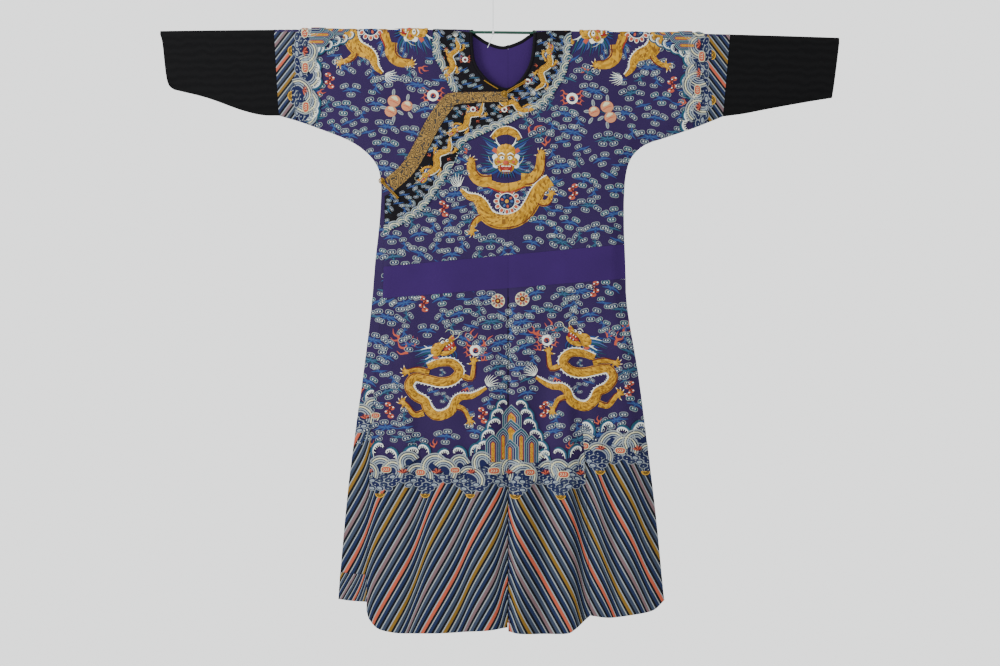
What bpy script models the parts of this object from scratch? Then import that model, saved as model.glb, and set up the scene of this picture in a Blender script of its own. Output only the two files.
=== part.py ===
"""A dragon robe hung flat on a rod: front, back, overlap, inner front, sleeves, facings and buttons.

Metres, +Z up. The front of the robe faces -Y, and X runs to the right as one looks at the front,
so the wearer's right side lies at low X. The origin is the top of the fitting that the cord hangs from.
"""

import math

import bmesh
import bpy
import numpy as np
from mathutils import Vector
from mathutils.geometry import delaunay_2d_cdt

# Thicknesses and gaps
WALL = 0.002
FACING = 0.001
SEAM = 0.0003
LAID_GAP = 0.0005
BINDING_WALL = 0.003
FACING_LIFT = WALL / 2 + LAID_GAP + FACING / 2
BINDING_LIFT = (BINDING_WALL - WALL) / 2

# The rod, which hangs a little lower at the wearer's left and bows under the robe
ROD_RADIUS = 0.0035
ROD_MIDDLE_Z = -0.1066
ROD_TILT = 0.00936
ROD_BOW = 0.015
ROD_ENDS_X = (-0.790, 0.821)
CREST_RADIUS = ROD_RADIUS + SEAM + WALL / 2
QUARTER_TURN = CREST_RADIUS * math.pi / 2

# The cord that the rod hangs by
CORD_RADIUS = 0.001
FITTING_RADIUS = 0.004
FITTING_HEIGHT = 0.014
KNOT_RADIUS = 0.0022
KNOT_SIDES = (20, 8)
TAIL_LENGTH = 0.032
TAIL_RADIUS = 0.0008
TAIL_DIRECTION = (-0.42, -0.12, -0.90)

# How far the middle of each layer stands from the rod's plane, beyond the crest
INNER_SWELL = 0.003
LAYER_STEP = 0.0028
BACK_SWELL = 0.0062
SLEEVE_SWELL = 0.0022
SWELL_LENGTH = 0.110
SKIRT_SWELL = 0.005
SIDE_ROLL = 0.028
SIDE_GAP = SEAM / 2 + WALL / 2
CREASE_TOLERANCE = 0.995

CENTRE_X = 0.036
TORSO_HALF_WIDTH = 0.25
SLEEVE_START = 0.40
WAIST_TOP = {"z": -0.6411, "slope": 0.0934}
WAIST_BOTTOM = {"z": -0.7209, "slope": 0.0809}
HEM_Z = -1.545
SLIT_GAP = 0.0012
BINDING_WIDTH = 0.0075

# Outlines as seen from the front, each row a point (x, z)
CUFF_RIGHT = [
    (-0.7982, -0.112),
    (-0.7925, -0.1344),
    (-0.7848, -0.203),
    (-0.7780, -0.2330),
    (-0.7660, -0.2440),
]
SLEEVE_RIGHT_LOW = [
    (-0.7660, -0.2440),
    (-0.6854, -0.2640),
    (-0.6080, -0.2920),
    (-0.5560, -0.3050),
    (-0.5136, -0.3065),
]
UNDERARM_RIGHT = [
    (-0.5136, -0.3065),
    (-0.4632, -0.3210),
    (-0.4056, -0.3420),
    (-0.3480, -0.3650),
    (-0.3080, -0.3910),
    (-0.2790, -0.4250),
    (-0.2690, -0.4640),
    (-0.2690, -0.5100),
    (-0.2730, -0.5700),
    (-0.2830, -0.6600),
    (-0.2928, -0.7776),
    (-0.3144, -0.9504),
    (-0.3456, -1.1808),
    (-0.3672, -1.4112),
    (-0.3708, -1.4664),
]
CUFF_LEFT = [(0.8304, -0.133), (0.8232, -0.1915), (0.8136, -0.2640)]
SLEEVE_LEFT_LOW = [
    (0.8136, -0.2640),
    (0.7536, -0.2736),
    (0.6600, -0.2905),
    (0.6012, -0.3020),
    (0.5515, -0.3084),
]
UNDERARM_LEFT = [
    (0.5515, -0.3084),
    (0.4824, -0.3360),
    (0.4152, -0.3590),
    (0.3660, -0.3760),
    (0.3360, -0.4020),
    (0.3216, -0.4350),
    (0.3150, -0.4900),
    (0.3144, -0.5760),
    (0.3168, -0.6624),
    (0.3225, -0.7700),
    (0.3480, -0.9216),
    (0.3720, -1.1088),
    (0.3912, -1.2672),
    (0.4080, -1.4400),
    (0.4116, -1.4688),
]
SLEEVE_SEAM_TOP = {"right": -0.5256, "left": 0.5688}
NECK_SHOULDERS = (-0.048, 0.096)
NECK_FRONT = [
    (-0.0470, -0.1540),
    (-0.0400, -0.1840),
    (-0.0216, -0.2107),
    (0.0020, -0.2310),
    (0.0350, -0.2417),
]
NECK_FRONT_LEFT = [
    (0.0350, -0.2417),
    (0.0586, -0.2273),
    (0.0766, -0.2052),
    (0.0888, -0.1776),
    (0.0945, -0.1459),
]
NECK_BACK = [
    (-0.0300, -0.1180),
    (-0.0070, -0.1310),
    (0.0250, -0.1390),
    (0.0586, -0.1290),
    (0.0790, -0.1170),
]
# A point in the neck opening, as (x, down) on the cloth
NECK_MIDDLE = (0.026, 0.030)

# The overlap's edge, from the neck to the side, with the width of the brocade border there
OVERLAP_EDGE = [
    {"x": 0.0350, "z": -0.2500, "border": 0.024},
    {"x": -0.0400, "z": -0.2510, "border": 0.025},
    {"x": -0.1000, "z": -0.2530, "border": 0.030},
    {"x": -0.1220, "z": -0.2660, "border": 0.035},
    {"x": -0.1600, "z": -0.3190, "border": 0.036},
    {"x": -0.2112, "z": -0.4142, "border": 0.036},
    {"x": -0.2590, "z": -0.4600, "border": 0.036},
]
OVERLAP_SIDE = [(-0.2600, -0.4620), (-0.2590, -0.5000), (-0.2600, -0.6000), (-0.2620, -0.6690)]
BORDER_END_X = -0.256
SKIRT_FREE_EDGE = [
    (-0.2640, -0.7450),
    (-0.2815, -0.9240),
    (-0.2925, -1.0800),
    (-0.3000, -1.3200),
    (-0.3030, -1.4928),
]
SKIRT_FREE_HEM = [
    (-0.3030, -1.4928),
    (-0.2940, -1.5168),
    (-0.2630, -1.5400),
    (-0.1750, -1.5470),
    (-0.0312, -1.5408),
    (0.0354, -1.5336),
]
SKIRT_LEFT_HEM = [
    (0.0366, -1.5432),
    (0.1000, -1.5470),
    (0.1728, -1.5456),
    (0.1970, -1.5340),
    (0.2328, -1.5040),
]
GORE_SEAM = [(0.1900, -0.7080), (0.2184, -1.1210), (0.2328, -1.5040)]
GORE_TOP_SIDE_Z = -0.6990
GORE_HEM = [(0.2328, -1.5040), (0.2832, -1.5090), (0.3312, -1.5020), (0.3810, -1.4930), (0.4116, -1.4688)]
INNER_HEM = [(-0.3708, -1.4664), (-0.3050, -1.4720), (-0.0550, -1.4850)]
INNER_EDGE = [(-0.0550, -1.4850), (-0.0200, -1.1000), (0.0100, -0.7600), (0.0290, -0.2600)]
INNER_HEM_BAND_HEIGHT = 0.066
INNER_HEM_BAND_END_X = -0.12
INNER_HEM_BAND_SIDE_Z = -1.46
INNER_HEM_BAND_GAP = 0.0008
BACK_HEM_RIGHT = [
    (-0.3708, -1.4664),
    (-0.3050, -1.4700),
    (-0.2700, -1.4850),
    (-0.1200, -1.5150),
    (0.0354, -1.5220),
]
BACK_HEM_LEFT = [
    (0.0366, -1.5220),
    (0.1500, -1.5160),
    (0.2328, -1.4980),
    (0.3400, -1.4900),
    (0.4116, -1.4688),
]

# The outer edge of the dark facing, round the neck and down the overlap
FACING_LEFT_EDGE = [
    (0.1840, -0.1500),
    (0.1752, -0.2011),
    (0.1531, -0.2410),
    (0.1219, -0.2808),
    (0.0732, -0.3072),
    (0.0360, -0.3260),
]
FACING_RIGHT_EDGE = [(-0.1430, -0.1567), (-0.1265, -0.1920), (-0.1087, -0.2277), (-0.1000, -0.2470)]
FACING_LOW_EDGE = [
    (0.0350, -0.3262),
    (-0.0460, -0.3610),
    (-0.0730, -0.3790),
    (-0.1000, -0.4320),
    (-0.1310, -0.4807),
    (-0.1620, -0.5251),
    (-0.2064, -0.5606),
    (-0.2585, -0.5870),
]
FACING_SHOULDERS = (-0.1442, 0.1865)
FACING_RIGHT_SPAN = (-0.098, 0.026)
# How far the right facing and the right binding stop short of the overlap's edge
FACING_STOP = 0.002
BINDING_STOP = 0.0012
FACING_BACK_EDGE = [
    (-0.1350, -0.1700),
    (-0.0900, -0.2150),
    (0.0210, -0.2420),
    (0.1320, -0.2150),
    (0.1770, -0.1700),
]

# Soft folds of the skirt. rise is how far a fold stands at the hem, and left and right are its widths.
FRONT_FOLDS = [
    {"x_waist": -0.262, "x_hem": -0.303, "left": 0.030, "right": 0.034, "rise": -0.0040},
    {"x_waist": -0.190, "x_hem": -0.222, "left": 0.045, "right": 0.030, "rise": 0.0065},
    {"x_waist": -0.100, "x_hem": -0.120, "left": 0.060, "right": 0.060, "rise": 0.0050},
    {"x_waist": 0.000, "x_hem": -0.016, "left": 0.060, "right": 0.046, "rise": 0.0065},
    {"x_waist": 0.036, "x_hem": 0.036, "left": 0.044, "right": 0.020, "rise": -0.0075},
    {"x_waist": 0.060, "x_hem": 0.062, "left": 0.024, "right": 0.075, "rise": 0.0180},
    {"x_waist": 0.165, "x_hem": 0.190, "left": 0.080, "right": 0.032, "rise": 0.0150},
    {"x_waist": 0.235, "x_hem": 0.262, "left": 0.030, "right": 0.040, "rise": 0.0055},
    {"x_waist": 0.290, "x_hem": 0.335, "left": 0.040, "right": 0.045, "rise": 0.0080},
]
BACK_FOLDS = [
    {"x_waist": -0.170, "x_hem": -0.235, "left": 0.060, "right": 0.060, "rise": 0.0070},
    {"x_waist": -0.060, "x_hem": -0.090, "left": 0.055, "right": 0.060, "rise": 0.0075},
    {"x_waist": 0.036, "x_hem": 0.036, "left": 0.045, "right": 0.045, "rise": -0.0040},
    {"x_waist": 0.130, "x_hem": 0.160, "left": 0.060, "right": 0.055, "rise": 0.0080},
    {"x_waist": 0.240, "x_hem": 0.300, "left": 0.060, "right": 0.060, "rise": 0.0070},
]
FOLD_START_Z = -0.600
FOLD_FULL_Z = -1.300

# Grid steps of the walls, across and down
FLAT_STEP = (0.042, 0.044)
FOLD_STEP = (0.0135, 0.090)
BACK_STEP = (0.026, 0.090)
SMALL_STEP = (0.022, 0.022)
# Shares of a grid step that are kept clear along an outline, before a crease's point and round it
EDGE_MARGIN = 0.22
CREASE_MARGIN = 0.12
CREASE_CLEARANCE = 0.45
ROW_CLEARANCE = 0.3
# Lengths that are kept clear at the crest and at corners
CREST_MARGIN = 0.006
CORNER_MARGIN = 0.004
LEAST_SPAN = 0.0004
CREST_ROWS = (QUARTER_TURN * 0.12, QUARTER_TURN * 0.40, QUARTER_TURN * 0.70, QUARTER_TURN, 0.022)

# Buttons, loops and stems
BUTTON_RADIUS = 0.0045
LOOP_RADIUS = 0.0014
LOOP_GAP = 0.0009
LOOP_POINTS = 14
CLOSURE_LIFT = WALL / 2 + LAID_GAP + FACING + LOOP_GAP + LOOP_RADIUS
NECK_KNOB = (0.0270, -0.2560)
NECK_LOOP_FOOT = (0.0800, -0.2240)
NECK_STEM = [(-0.0210, -0.2230), (-0.0100, -0.2305), (0.0020, -0.2380), (0.0120, -0.2435)]
SIDE_KNOB = (-0.2655, -0.4630)
SIDE_LOOP_FOOT = (-0.2270, -0.5060)
# How far along a loop's strand each point lies, and how far it has risen to the ball's height there
STRAND_POINTS = [
    {"along": 0.0, "risen": 0.0},
    {"along": 0.3, "risen": 0.0},
    {"along": 0.6, "risen": 0.15},
    {"along": 0.85, "risen": 0.6},
]

COLOURS = {
    "purple_silk": (0.062, 0.043, 0.160),
    "striped_silk": (0.090, 0.110, 0.180),
    "plain_purple": (0.070, 0.052, 0.185),
    "black_cloth": (0.010, 0.010, 0.011),
    "dark_facing": (0.022, 0.020, 0.024),
    "gold_brocade": (0.360, 0.240, 0.080),
    "gold_cord": (0.450, 0.300, 0.110),
    "green_rod": (0.015, 0.060, 0.045),
    "hanging_cord": (0.620, 0.620, 0.620),
    "metal": (0.560, 0.570, 0.580),
}
METALS = {"metal", "gold_cord"}


def clear_scene():
    for obj in list(bpy.data.objects):
        bpy.data.objects.remove(obj)


def make_material(name):
    material = bpy.data.materials.new(name)
    material.use_nodes = True
    shader = material.node_tree.nodes["Principled BSDF"]
    shader.inputs["Base Color"].default_value = (*COLOURS[name], 1.0)
    shader.inputs["Roughness"].default_value = 0.35 if name in METALS else 0.75
    shader.inputs["Metallic"].default_value = 0.8 if name in METALS else 0.0
    return material


def rod_z(x):
    """Height of the rod's axis at x."""
    return ROD_MIDDLE_Z - ROD_TILT * x - ROD_BOW * x * x


def down_at(x, z):
    """Length of cloth from the crest over the rod down to height z."""
    return rod_z(x) - z + QUARTER_TURN


def ease(t):
    t = min(max(t, 0.0), 1.0)
    return t * t * (3 - 2 * t)


def smooth_curve(rows, per_span=3):
    """Points on a Catmull-Rom curve through the rows."""
    points = [np.array(row, float) for row in rows]
    padded = [2 * points[0] - points[1], *points, 2 * points[-1] - points[-2]]
    curve = []
    for i in range(len(points) - 1):
        a, b, c, d = padded[i : i + 4]
        for k in range(per_span):
            t = k / per_span
            squared, cubed = 2 * a - 5 * b + 4 * c - d, 3 * b - a - 3 * c + d
            curve.append(0.5 * (2 * b + (c - a) * t + squared * t**2 + cubed * t**3))
    curve.append(points[-1])
    return [tuple(p) for p in curve]


def between(start, end, step):
    """Points from start to end, both included, about a step apart."""
    a, b = np.array(start, float), np.array(end, float)
    count = max(1, round(float(np.linalg.norm(b - a)) / step))
    return [tuple(a + (b - a) * i / count) for i in range(count + 1)]


def laid(points):
    """Points (x, z) seen from the front as points (x, down) on the cloth."""
    return [(x, down_at(x, z)) for x, z in points]


def crest_run(start_x, end_x, step=FLAT_STEP[0]):
    """The edge along the crest, where front and back meet."""
    return between((start_x, 0.0), (end_x, 0.0), step)


def rounding_run(x, end_down, rows=CREST_ROWS):
    """Points down a straight edge at x, close together over the rod's curve."""
    return [(x, down) for down in rows if down < end_down - CORNER_MARGIN]


SLEEVE_LOW_CURVES = {"right": smooth_curve(SLEEVE_RIGHT_LOW, 2), "left": smooth_curve(SLEEVE_LEFT_LOW, 2)}
UNDERARM_CURVES = {"right": smooth_curve(UNDERARM_RIGHT, 2), "left": smooth_curve(UNDERARM_LEFT, 2)}
CLOSED_SIDES = {side: SLEEVE_LOW_CURVES[side][:-1] + UNDERARM_CURVES[side] for side in UNDERARM_CURVES}


def line_distance(point, starts, ends):
    """Distance from a point to the nearest of some straight lines."""
    along = ends - starts
    length = np.maximum((along * along).sum(1), 1e-12)
    share = np.clip(((point - starts) * along).sum(1) / length, 0, 1)
    return float(np.linalg.norm(starts + along * share[:, None] - point, axis=1).min())


def side_distance(x, z):
    """Distance to the nearer of the two closed side seams."""
    point = np.array((x, z))
    sides = CLOSED_SIDES.values()
    return min(line_distance(point, np.array(side[:-1]), np.array(side[1:])) for side in sides)


def rolled_in(depth, x, z):
    """The depth of a layer, drawn in to the seam where front and back are sewn together."""
    share = min(side_distance(x, z) / SIDE_ROLL, 1.0)
    return SIDE_GAP + (depth - SIDE_GAP) * share


def roll_crease(side, turn):
    """The line at which the roll towards a side seam begins, as points (x, z)."""
    points = np.array(side)
    tangents = np.gradient(points, axis=0)
    tangents /= np.linalg.norm(tangents, axis=1)[:, None]
    moved = points + np.stack([-tangents[:, 1], tangents[:, 0]], axis=1) * turn * SIDE_ROLL
    return [(x, z) for x, z in moved if side_distance(x, z) > SIDE_ROLL * CREASE_TOLERANCE]


def with_crease_crossings(outline):
    """The outline with a point wherever it crosses the line at which the roll begins."""

    def beyond(point):
        x, down = point
        return side_distance(x, rod_z(x) - down + QUARTER_TURN) - SIDE_ROLL

    crossed = []
    for start, end in zip(outline, outline[1:] + outline[:1]):
        crossed.append(start)
        if beyond(start) * beyond(end) < 0:
            low, high = np.array(start), np.array(end)
            for _ in range(20):
                middle = (low + high) / 2
                if beyond(low) * beyond(middle) < 0:
                    high = middle
                else:
                    low = middle
            crossed.append(tuple(low))
    return crossed


def torso_share(x):
    """1 over the torso and 0 along the sleeves."""
    reach = abs(x - CENTRE_X / 2)
    return 1 - ease((reach - TORSO_HALF_WIDTH) / (SLEEVE_START - TORSO_HALF_WIDTH))


def swell(amount, x, z):
    """How far a layer stands off below the crest."""
    below = max(rod_z(x) - z, 0.0)
    full = SLEEVE_SWELL + (amount - SLEEVE_SWELL) * torso_share(x)
    return full * (1 - math.exp(-below / SWELL_LENGTH))


def skirt_share(z):
    return ease((FOLD_START_Z - z) / (FOLD_START_Z - FOLD_FULL_Z))


def fold_height(folds, x, z):
    """Sum of the soft folds at a point."""
    along = (FOLD_START_Z - z) / (FOLD_START_Z - HEM_Z)
    height = 0.0
    for fold in folds:
        offset = x - (fold["x_waist"] + (fold["x_hem"] - fold["x_waist"]) * along)
        reach = abs(offset) / (fold["left"] if offset < 0 else fold["right"])
        if reach < 1:
            height += fold["rise"] * 0.5 * (1 + math.cos(math.pi * reach))
    return height * skirt_share(z)


def inner_depth(x, z):
    return -rolled_in(CREST_RADIUS + swell(INNER_SWELL, x, z), x, z)


def overlap_depth(x, z):
    stand_off = LAYER_STEP + SKIRT_SWELL * skirt_share(z) + fold_height(FRONT_FOLDS, x, z)
    return inner_depth(x, z) - stand_off


def left_front_depth(x, z):
    full = CREST_RADIUS + swell(INNER_SWELL + LAYER_STEP, x, z)
    full += SKIRT_SWELL * skirt_share(z) + fold_height(FRONT_FOLDS, x, z)
    return -rolled_in(full, x, z)


def back_depth(x, z):
    full = CREST_RADIUS + swell(BACK_SWELL, x, z)
    full += SKIRT_SWELL * skirt_share(z) + fold_height(BACK_FOLDS, x, z)
    return rolled_in(full, x, z)


def on_cloth(depth, x, down, lift=0.0):
    """A point of a layer's middle surface, moved out by lift."""

    def middle(x, down):
        side = math.copysign(1.0, depth(x, rod_z(x) - 0.05))
        if down < QUARTER_TURN:
            angle = down / CREST_RADIUS
            out, rise = math.sin(angle), math.cos(angle)
            return Vector((x, side * CREST_RADIUS * out, rod_z(x) + CREST_RADIUS * rise))
        z = rod_z(x) - (down - QUARTER_TURN)
        return Vector((x, depth(x, z), z))

    point = middle(x, down)
    if lift:
        reach = 0.0015
        across = middle(x + reach, down) - middle(x - reach, down)
        low = middle(x, down + reach)
        high = middle(x, max(down - reach, 0.0))
        normal = across.cross(high - low).normalized()
        outward = -1.0 if depth(x, rod_z(x) - 0.05) < 0 else 1.0
        if down > QUARTER_TURN and normal.y * outward < 0:
            normal.negate()
        if down <= QUARTER_TURN and normal.z < 0:
            normal.negate()
        point = point + normal * lift
    return point


def inside(point, outline):
    """Whether a point lies in a closed outline, by counting crossings."""
    x, y = point
    a, b = outline, np.roll(outline, -1, axis=0)
    spans = (a[:, 1] > y) != (b[:, 1] > y)
    rise = np.where(spans, b[:, 1] - a[:, 1], 1.0)
    crossing = a[:, 0] + (y - a[:, 1]) * (b[:, 0] - a[:, 0]) / rise
    return bool((spans & (x < crossing)).sum() % 2)


def clear_of(point, outline, distance):
    return line_distance(point, outline, np.roll(outline, -1, axis=0)) > distance


def without_repeats(points):
    kept = []
    for point in points:
        if not kept or math.dist(point, kept[-1]) > LEAST_SPAN:
            kept.append(point)
    if math.dist(kept[0], kept[-1]) < LEAST_SPAN:
        kept.pop()
    return kept


def inset(points, distance):
    """The outline moved in by a distance, so that neighbours stay a seam apart."""
    ring = np.array(points)
    before, after = np.roll(ring, 1, axis=0), np.roll(ring, -1, axis=0)
    area = float((ring[:, 0] * after[:, 1] - after[:, 0] * ring[:, 1]).sum())
    turn = 1.0 if area > 0 else -1.0
    moved = []
    for a, p, b in zip(before, ring, after):
        first, second = (p - a) / np.linalg.norm(p - a), (b - p) / np.linalg.norm(b - p)
        normal = np.array((-first[1] - second[1], first[0] + second[0])) * turn
        length = np.linalg.norm(normal)
        share = 2 / max(length, 1.0)
        moved.append(tuple(p + normal / max(length, 1e-9) * distance * min(share, 2.0)))
    return moved


def fill_points(ring, scale):
    """The outline's points, the grid's inside it, and the lines that the triangles keep to."""
    scaled = ring / scale
    low, high = ring.min(0), ring.max(0)
    points, lines = list(ring), []
    creases = []
    for crease in ROLL_CREASES:
        last = None
        for point in laid(crease):
            fits = inside(point, ring) and clear_of(np.array(point) / scale, scaled, CREASE_MARGIN)
            if fits and last is not None:
                lines.append((last, len(points)))
            last = len(points) if fits else None
            if fits:
                creases.append(np.array(point) / scale)
                points.append(np.array(point))
    creases = np.array(creases) if creases else np.full((1, 2), 1e3)
    columns = np.arange(math.ceil(low[0] / scale[0]) * scale[0], high[0], scale[0])
    rows = [row for row in CREST_ROWS if low[1] < row < high[1]]
    top = max(low[1], CREST_ROWS[-1])
    rows += list(np.arange(math.ceil(top / scale[1] + ROW_CLEARANCE) * scale[1], high[1], scale[1]))
    for down in rows:
        on_crest = down <= QUARTER_TURN
        for x in columns:
            point = np.array((x, down))
            from_crease = np.linalg.norm(creases - point / scale, axis=1).min()
            margin = CREST_MARGIN if on_crest else EDGE_MARGIN
            clear = clear_of(point / scale, scaled, margin) and from_crease > CREASE_CLEARANCE
            if clear and inside(point, ring):
                points.append(point)
        if on_crest:
            along = sorted((p[0], i) for i, p in enumerate(points) if abs(p[1] - down) < 1e-4)
            for (x0, first), (x1, second) in zip(along, along[1:]):
                if inside(((x0 + x1) / 2, down), ring):
                    lines.append((first, second))
    return points, lines


def wall(name, outline, depth, material, step=FLAT_STEP, thickness=WALL, lift=0.0, gap=SEAM / 2):
    """One cut piece of cloth: its outline on the cloth, filled with a grid and given its thickness."""
    ring = np.array(without_repeats(with_crease_crossings(inset(without_repeats(outline), gap))))
    scale = np.array(step)
    flat_points, lines = fill_points(ring, scale)
    points = [Vector(p / scale) for p in flat_points]
    flat, _, faces, *_ = delaunay_2d_cdt(points, lines, [list(range(len(ring)))], 1, 1e-6)
    mesh = bpy.data.meshes.new(name)
    shape = bmesh.new()
    corners = [shape.verts.new(on_cloth(depth, p.x * step[0], p.y * step[1], lift)) for p in flat]
    for face in faces:
        shape.faces.new([corners[i] for i in face])
    bmesh.ops.recalc_face_normals(shape, faces=shape.faces)
    shape.to_mesh(mesh)
    shape.free()
    obj = add_object(name, mesh, material)
    solidify = obj.modifiers.new("Wall", "SOLIDIFY")
    solidify.thickness = thickness
    solidify.offset = 0.0
    solidify.use_even_offset = True
    solidify.use_quality_normals = True
    return obj


def add_object(name, data, material):
    obj = bpy.data.objects.new(name, data)
    obj.data.materials.append(bpy.data.materials[material])
    collection.objects.link(obj)
    return obj


def waist_line(band, start_x, end_x, step=FLAT_STEP[0]):
    def z(x):
        return band["z"] + band["slope"] * (x - CENTRE_X)

    return [(x, z(x)) for x, _ in between((start_x, 0.0), (end_x, 0.0), step)]


def side_at(rows, z):
    """The side seam's x at a height below the underarm."""
    points = sorted(rows, key=lambda row: -row[1])
    for (x0, z0), (x1, z1) in zip(points, points[1:]):
        if z1 <= z <= z0:
            return x0 + (x1 - x0) * (z0 - z) / (z0 - z1)
    return points[-1][0]


def side_run(rows, top, bottom):
    """The part of a side seam between two heights."""
    return [(x, z) for x, z in rows if bottom < z < top]


def along_seam(rows, top_z, bottom_z, step=0.09):
    """Points down a seam that is given by a few rows."""
    count = max(2, round((top_z - bottom_z) / step))
    heights = [top_z + (bottom_z - top_z) * i / count for i in range(count + 1)]
    return [(side_at(rows, z), z) for z in heights]


ROLL_CREASES = (roll_crease(CLOSED_SIDES["right"], 1), roll_crease(CLOSED_SIDES["left"], -1))
# Below these heights a side seam is a plain function of height
SIDE_STARTS = -0.47


def lower_side(side):
    return [row for row in UNDERARM_CURVES[side] if row[1] < SIDE_STARTS]


def neck_run(rows, shoulder_x, margin, outward):
    """A neck edge moved away from the opening by margin, ending at the crest."""
    curve = laid(smooth_curve(rows, 2))
    points = np.array(curve)
    tangents = np.gradient(points, axis=0)
    tangents /= np.linalg.norm(tangents, axis=1)[:, None]
    normals = np.stack([-tangents[:, 1], tangents[:, 0]], axis=1)
    normals *= np.sign(((points - np.array(NECK_MIDDLE)) * normals).sum(1))[:, None]
    moved = [tuple(p) for p in points + normals * margin]
    top_x = shoulder_x + outward * margin
    top = [(top_x, down) for down in (0.0, *CREST_ROWS[:4])]
    return moved, top


def neck_edges(margin):
    """Neck edges, each from the centre up to its shoulder, set back by margin."""
    right, right_top = neck_run(NECK_FRONT, NECK_SHOULDERS[0], margin, -1)
    left, left_top = neck_run(NECK_FRONT_LEFT, NECK_SHOULDERS[1], margin, 1)
    back, _ = neck_run(NECK_BACK, NECK_SHOULDERS[0], margin, -1)
    return {
        "right": list(reversed(right)) + list(reversed(right_top)),
        "left": left + list(reversed(left_top)),
        "back": right_top + back + list(reversed(left_top)),
    }


def upper_outline(side, neck, centre_bottom, sleeve_seam_top):
    """Crest, sleeve seam, underarm and side down to the waist band."""
    underarm = UNDERARM_CURVES[side]
    side_x = side_at(lower_side(side), centre_bottom)
    waist = waist_line(WAIST_TOP, side_x, CENTRE_X)
    below = [row for row in underarm if row[1] > waist[0][1] + CORNER_MARGIN]
    seam_bottom = laid([underarm[0]])[0]
    seam = between((sleeve_seam_top, CREST_ROWS[-1]), seam_bottom, FLAT_STEP[1])
    return (
        neck
        + crest_run(neck[-1][0], sleeve_seam_top)[1:]
        + rounding_run(sleeve_seam_top, 1.0)[:-1]
        + seam
        + laid(below)[1:]
        + laid(waist)
    )


def centre_up(top_down, bottom_z):
    """The centre seam, from below up to just under the neck."""
    bottom = down_at(CENTRE_X, bottom_z)
    return between((CENTRE_X, bottom), (CENTRE_X, top_down), FLAT_STEP[1])[1:-1]


def add_bodices():
    edges = neck_edges(BINDING_WIDTH + SEAM)
    waist_z = WAIST_TOP["z"]
    left_neck = edges["left"]
    outline = upper_outline("left", left_neck, waist_z, SLEEVE_SEAM_TOP["left"])
    outline += centre_up(left_neck[0][1], waist_z)
    start = (CENTRE_X, left_neck[0][1])
    outline = [start] + [p for p in outline if p != left_neck[0]]
    wall("left_front_bodice", outline, left_front_depth, "purple_silk")

    back_neck = edges["back"]
    middle = next(i for i, p in enumerate(back_neck) if p[0] >= CENTRE_X)
    neck_centre = (CENTRE_X, float(np.interp(CENTRE_X, *zip(*back_neck[middle - 1 : middle + 1]))))
    for side, neck in (
        ("left", [neck_centre] + back_neck[middle:]),
        ("right", [neck_centre] + list(reversed(back_neck[:middle]))),
    ):
        outline = upper_outline(side, neck, waist_z, SLEEVE_SEAM_TOP[side])
        outline += centre_up(neck_centre[1], waist_z)
        wall(f"{side}_back_bodice", outline, back_depth, "purple_silk")


def add_inner_front():
    """The inner right front, from the shoulder to its own shorter hem."""
    neck = neck_edges(BINDING_WIDTH + SEAM)["right"]
    underarm = UNDERARM_CURVES["right"]
    seam_bottom = laid([underarm[0]])[0]
    seam_top = SLEEVE_SEAM_TOP["right"]
    hem = [p for a, b in zip(INNER_HEM, INNER_HEM[1:]) for p in between(a, b, 0.04)]
    edge = [p for a, b in zip(INNER_EDGE, INNER_EDGE[1:]) for p in between(a, b, 0.09)]
    outline = (
        neck
        + crest_run(neck[-1][0], seam_top)[1:]
        + rounding_run(seam_top, 1.0)[:-1]
        + between((seam_top, CREST_ROWS[-1]), seam_bottom, FLAT_STEP[1])
        + laid(underarm)[1:]
        + laid(hem)[1:]
        + laid(edge)[1:]
    )
    wall("right_inner_front", outline, inner_depth, "striped_silk", step=(0.042, 0.060))
    top = INNER_HEM[0][1] + INNER_HEM_BAND_HEIGHT
    side_x = side_at(lower_side("right"), top)
    band_low = [(x, z) for x, z in hem if x < INNER_HEM_BAND_END_X]
    outline = laid([(side_x, top)] + side_run(lower_side("right"), top, INNER_HEM_BAND_SIDE_Z))
    outline += laid(band_low)
    outline += laid([(x, z + INNER_HEM_BAND_HEIGHT) for x, z in reversed(band_low[1:])])
    wall(
        "inner_front_hem_band",
        outline,
        inner_depth,
        "striped_silk",
        step=(0.030, 0.030),
        thickness=FACING,
        lift=FACING_LIFT,
        gap=INNER_HEM_BAND_GAP,
    )


def overlap_edge_rows():
    return smooth_curve([(row["x"], row["z"]) for row in OVERLAP_EDGE], 2)


def border_inner_edge():
    """The brocade border's lower edge: the overlap's edge moved in by the border's width."""
    edge = np.array(overlap_edge_rows())
    widths = [row["border"] for row in OVERLAP_EDGE]
    widths = np.interp(np.linspace(0, 1, len(edge)), np.linspace(0, 1, len(widths)), widths)
    tangents = np.gradient(edge, axis=0)
    tangents /= np.linalg.norm(tangents, axis=1)[:, None]
    normals = np.stack([-tangents[:, 1], tangents[:, 0]], axis=1)
    return [tuple(p) for p in edge + normals * widths[:, None]]


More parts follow.
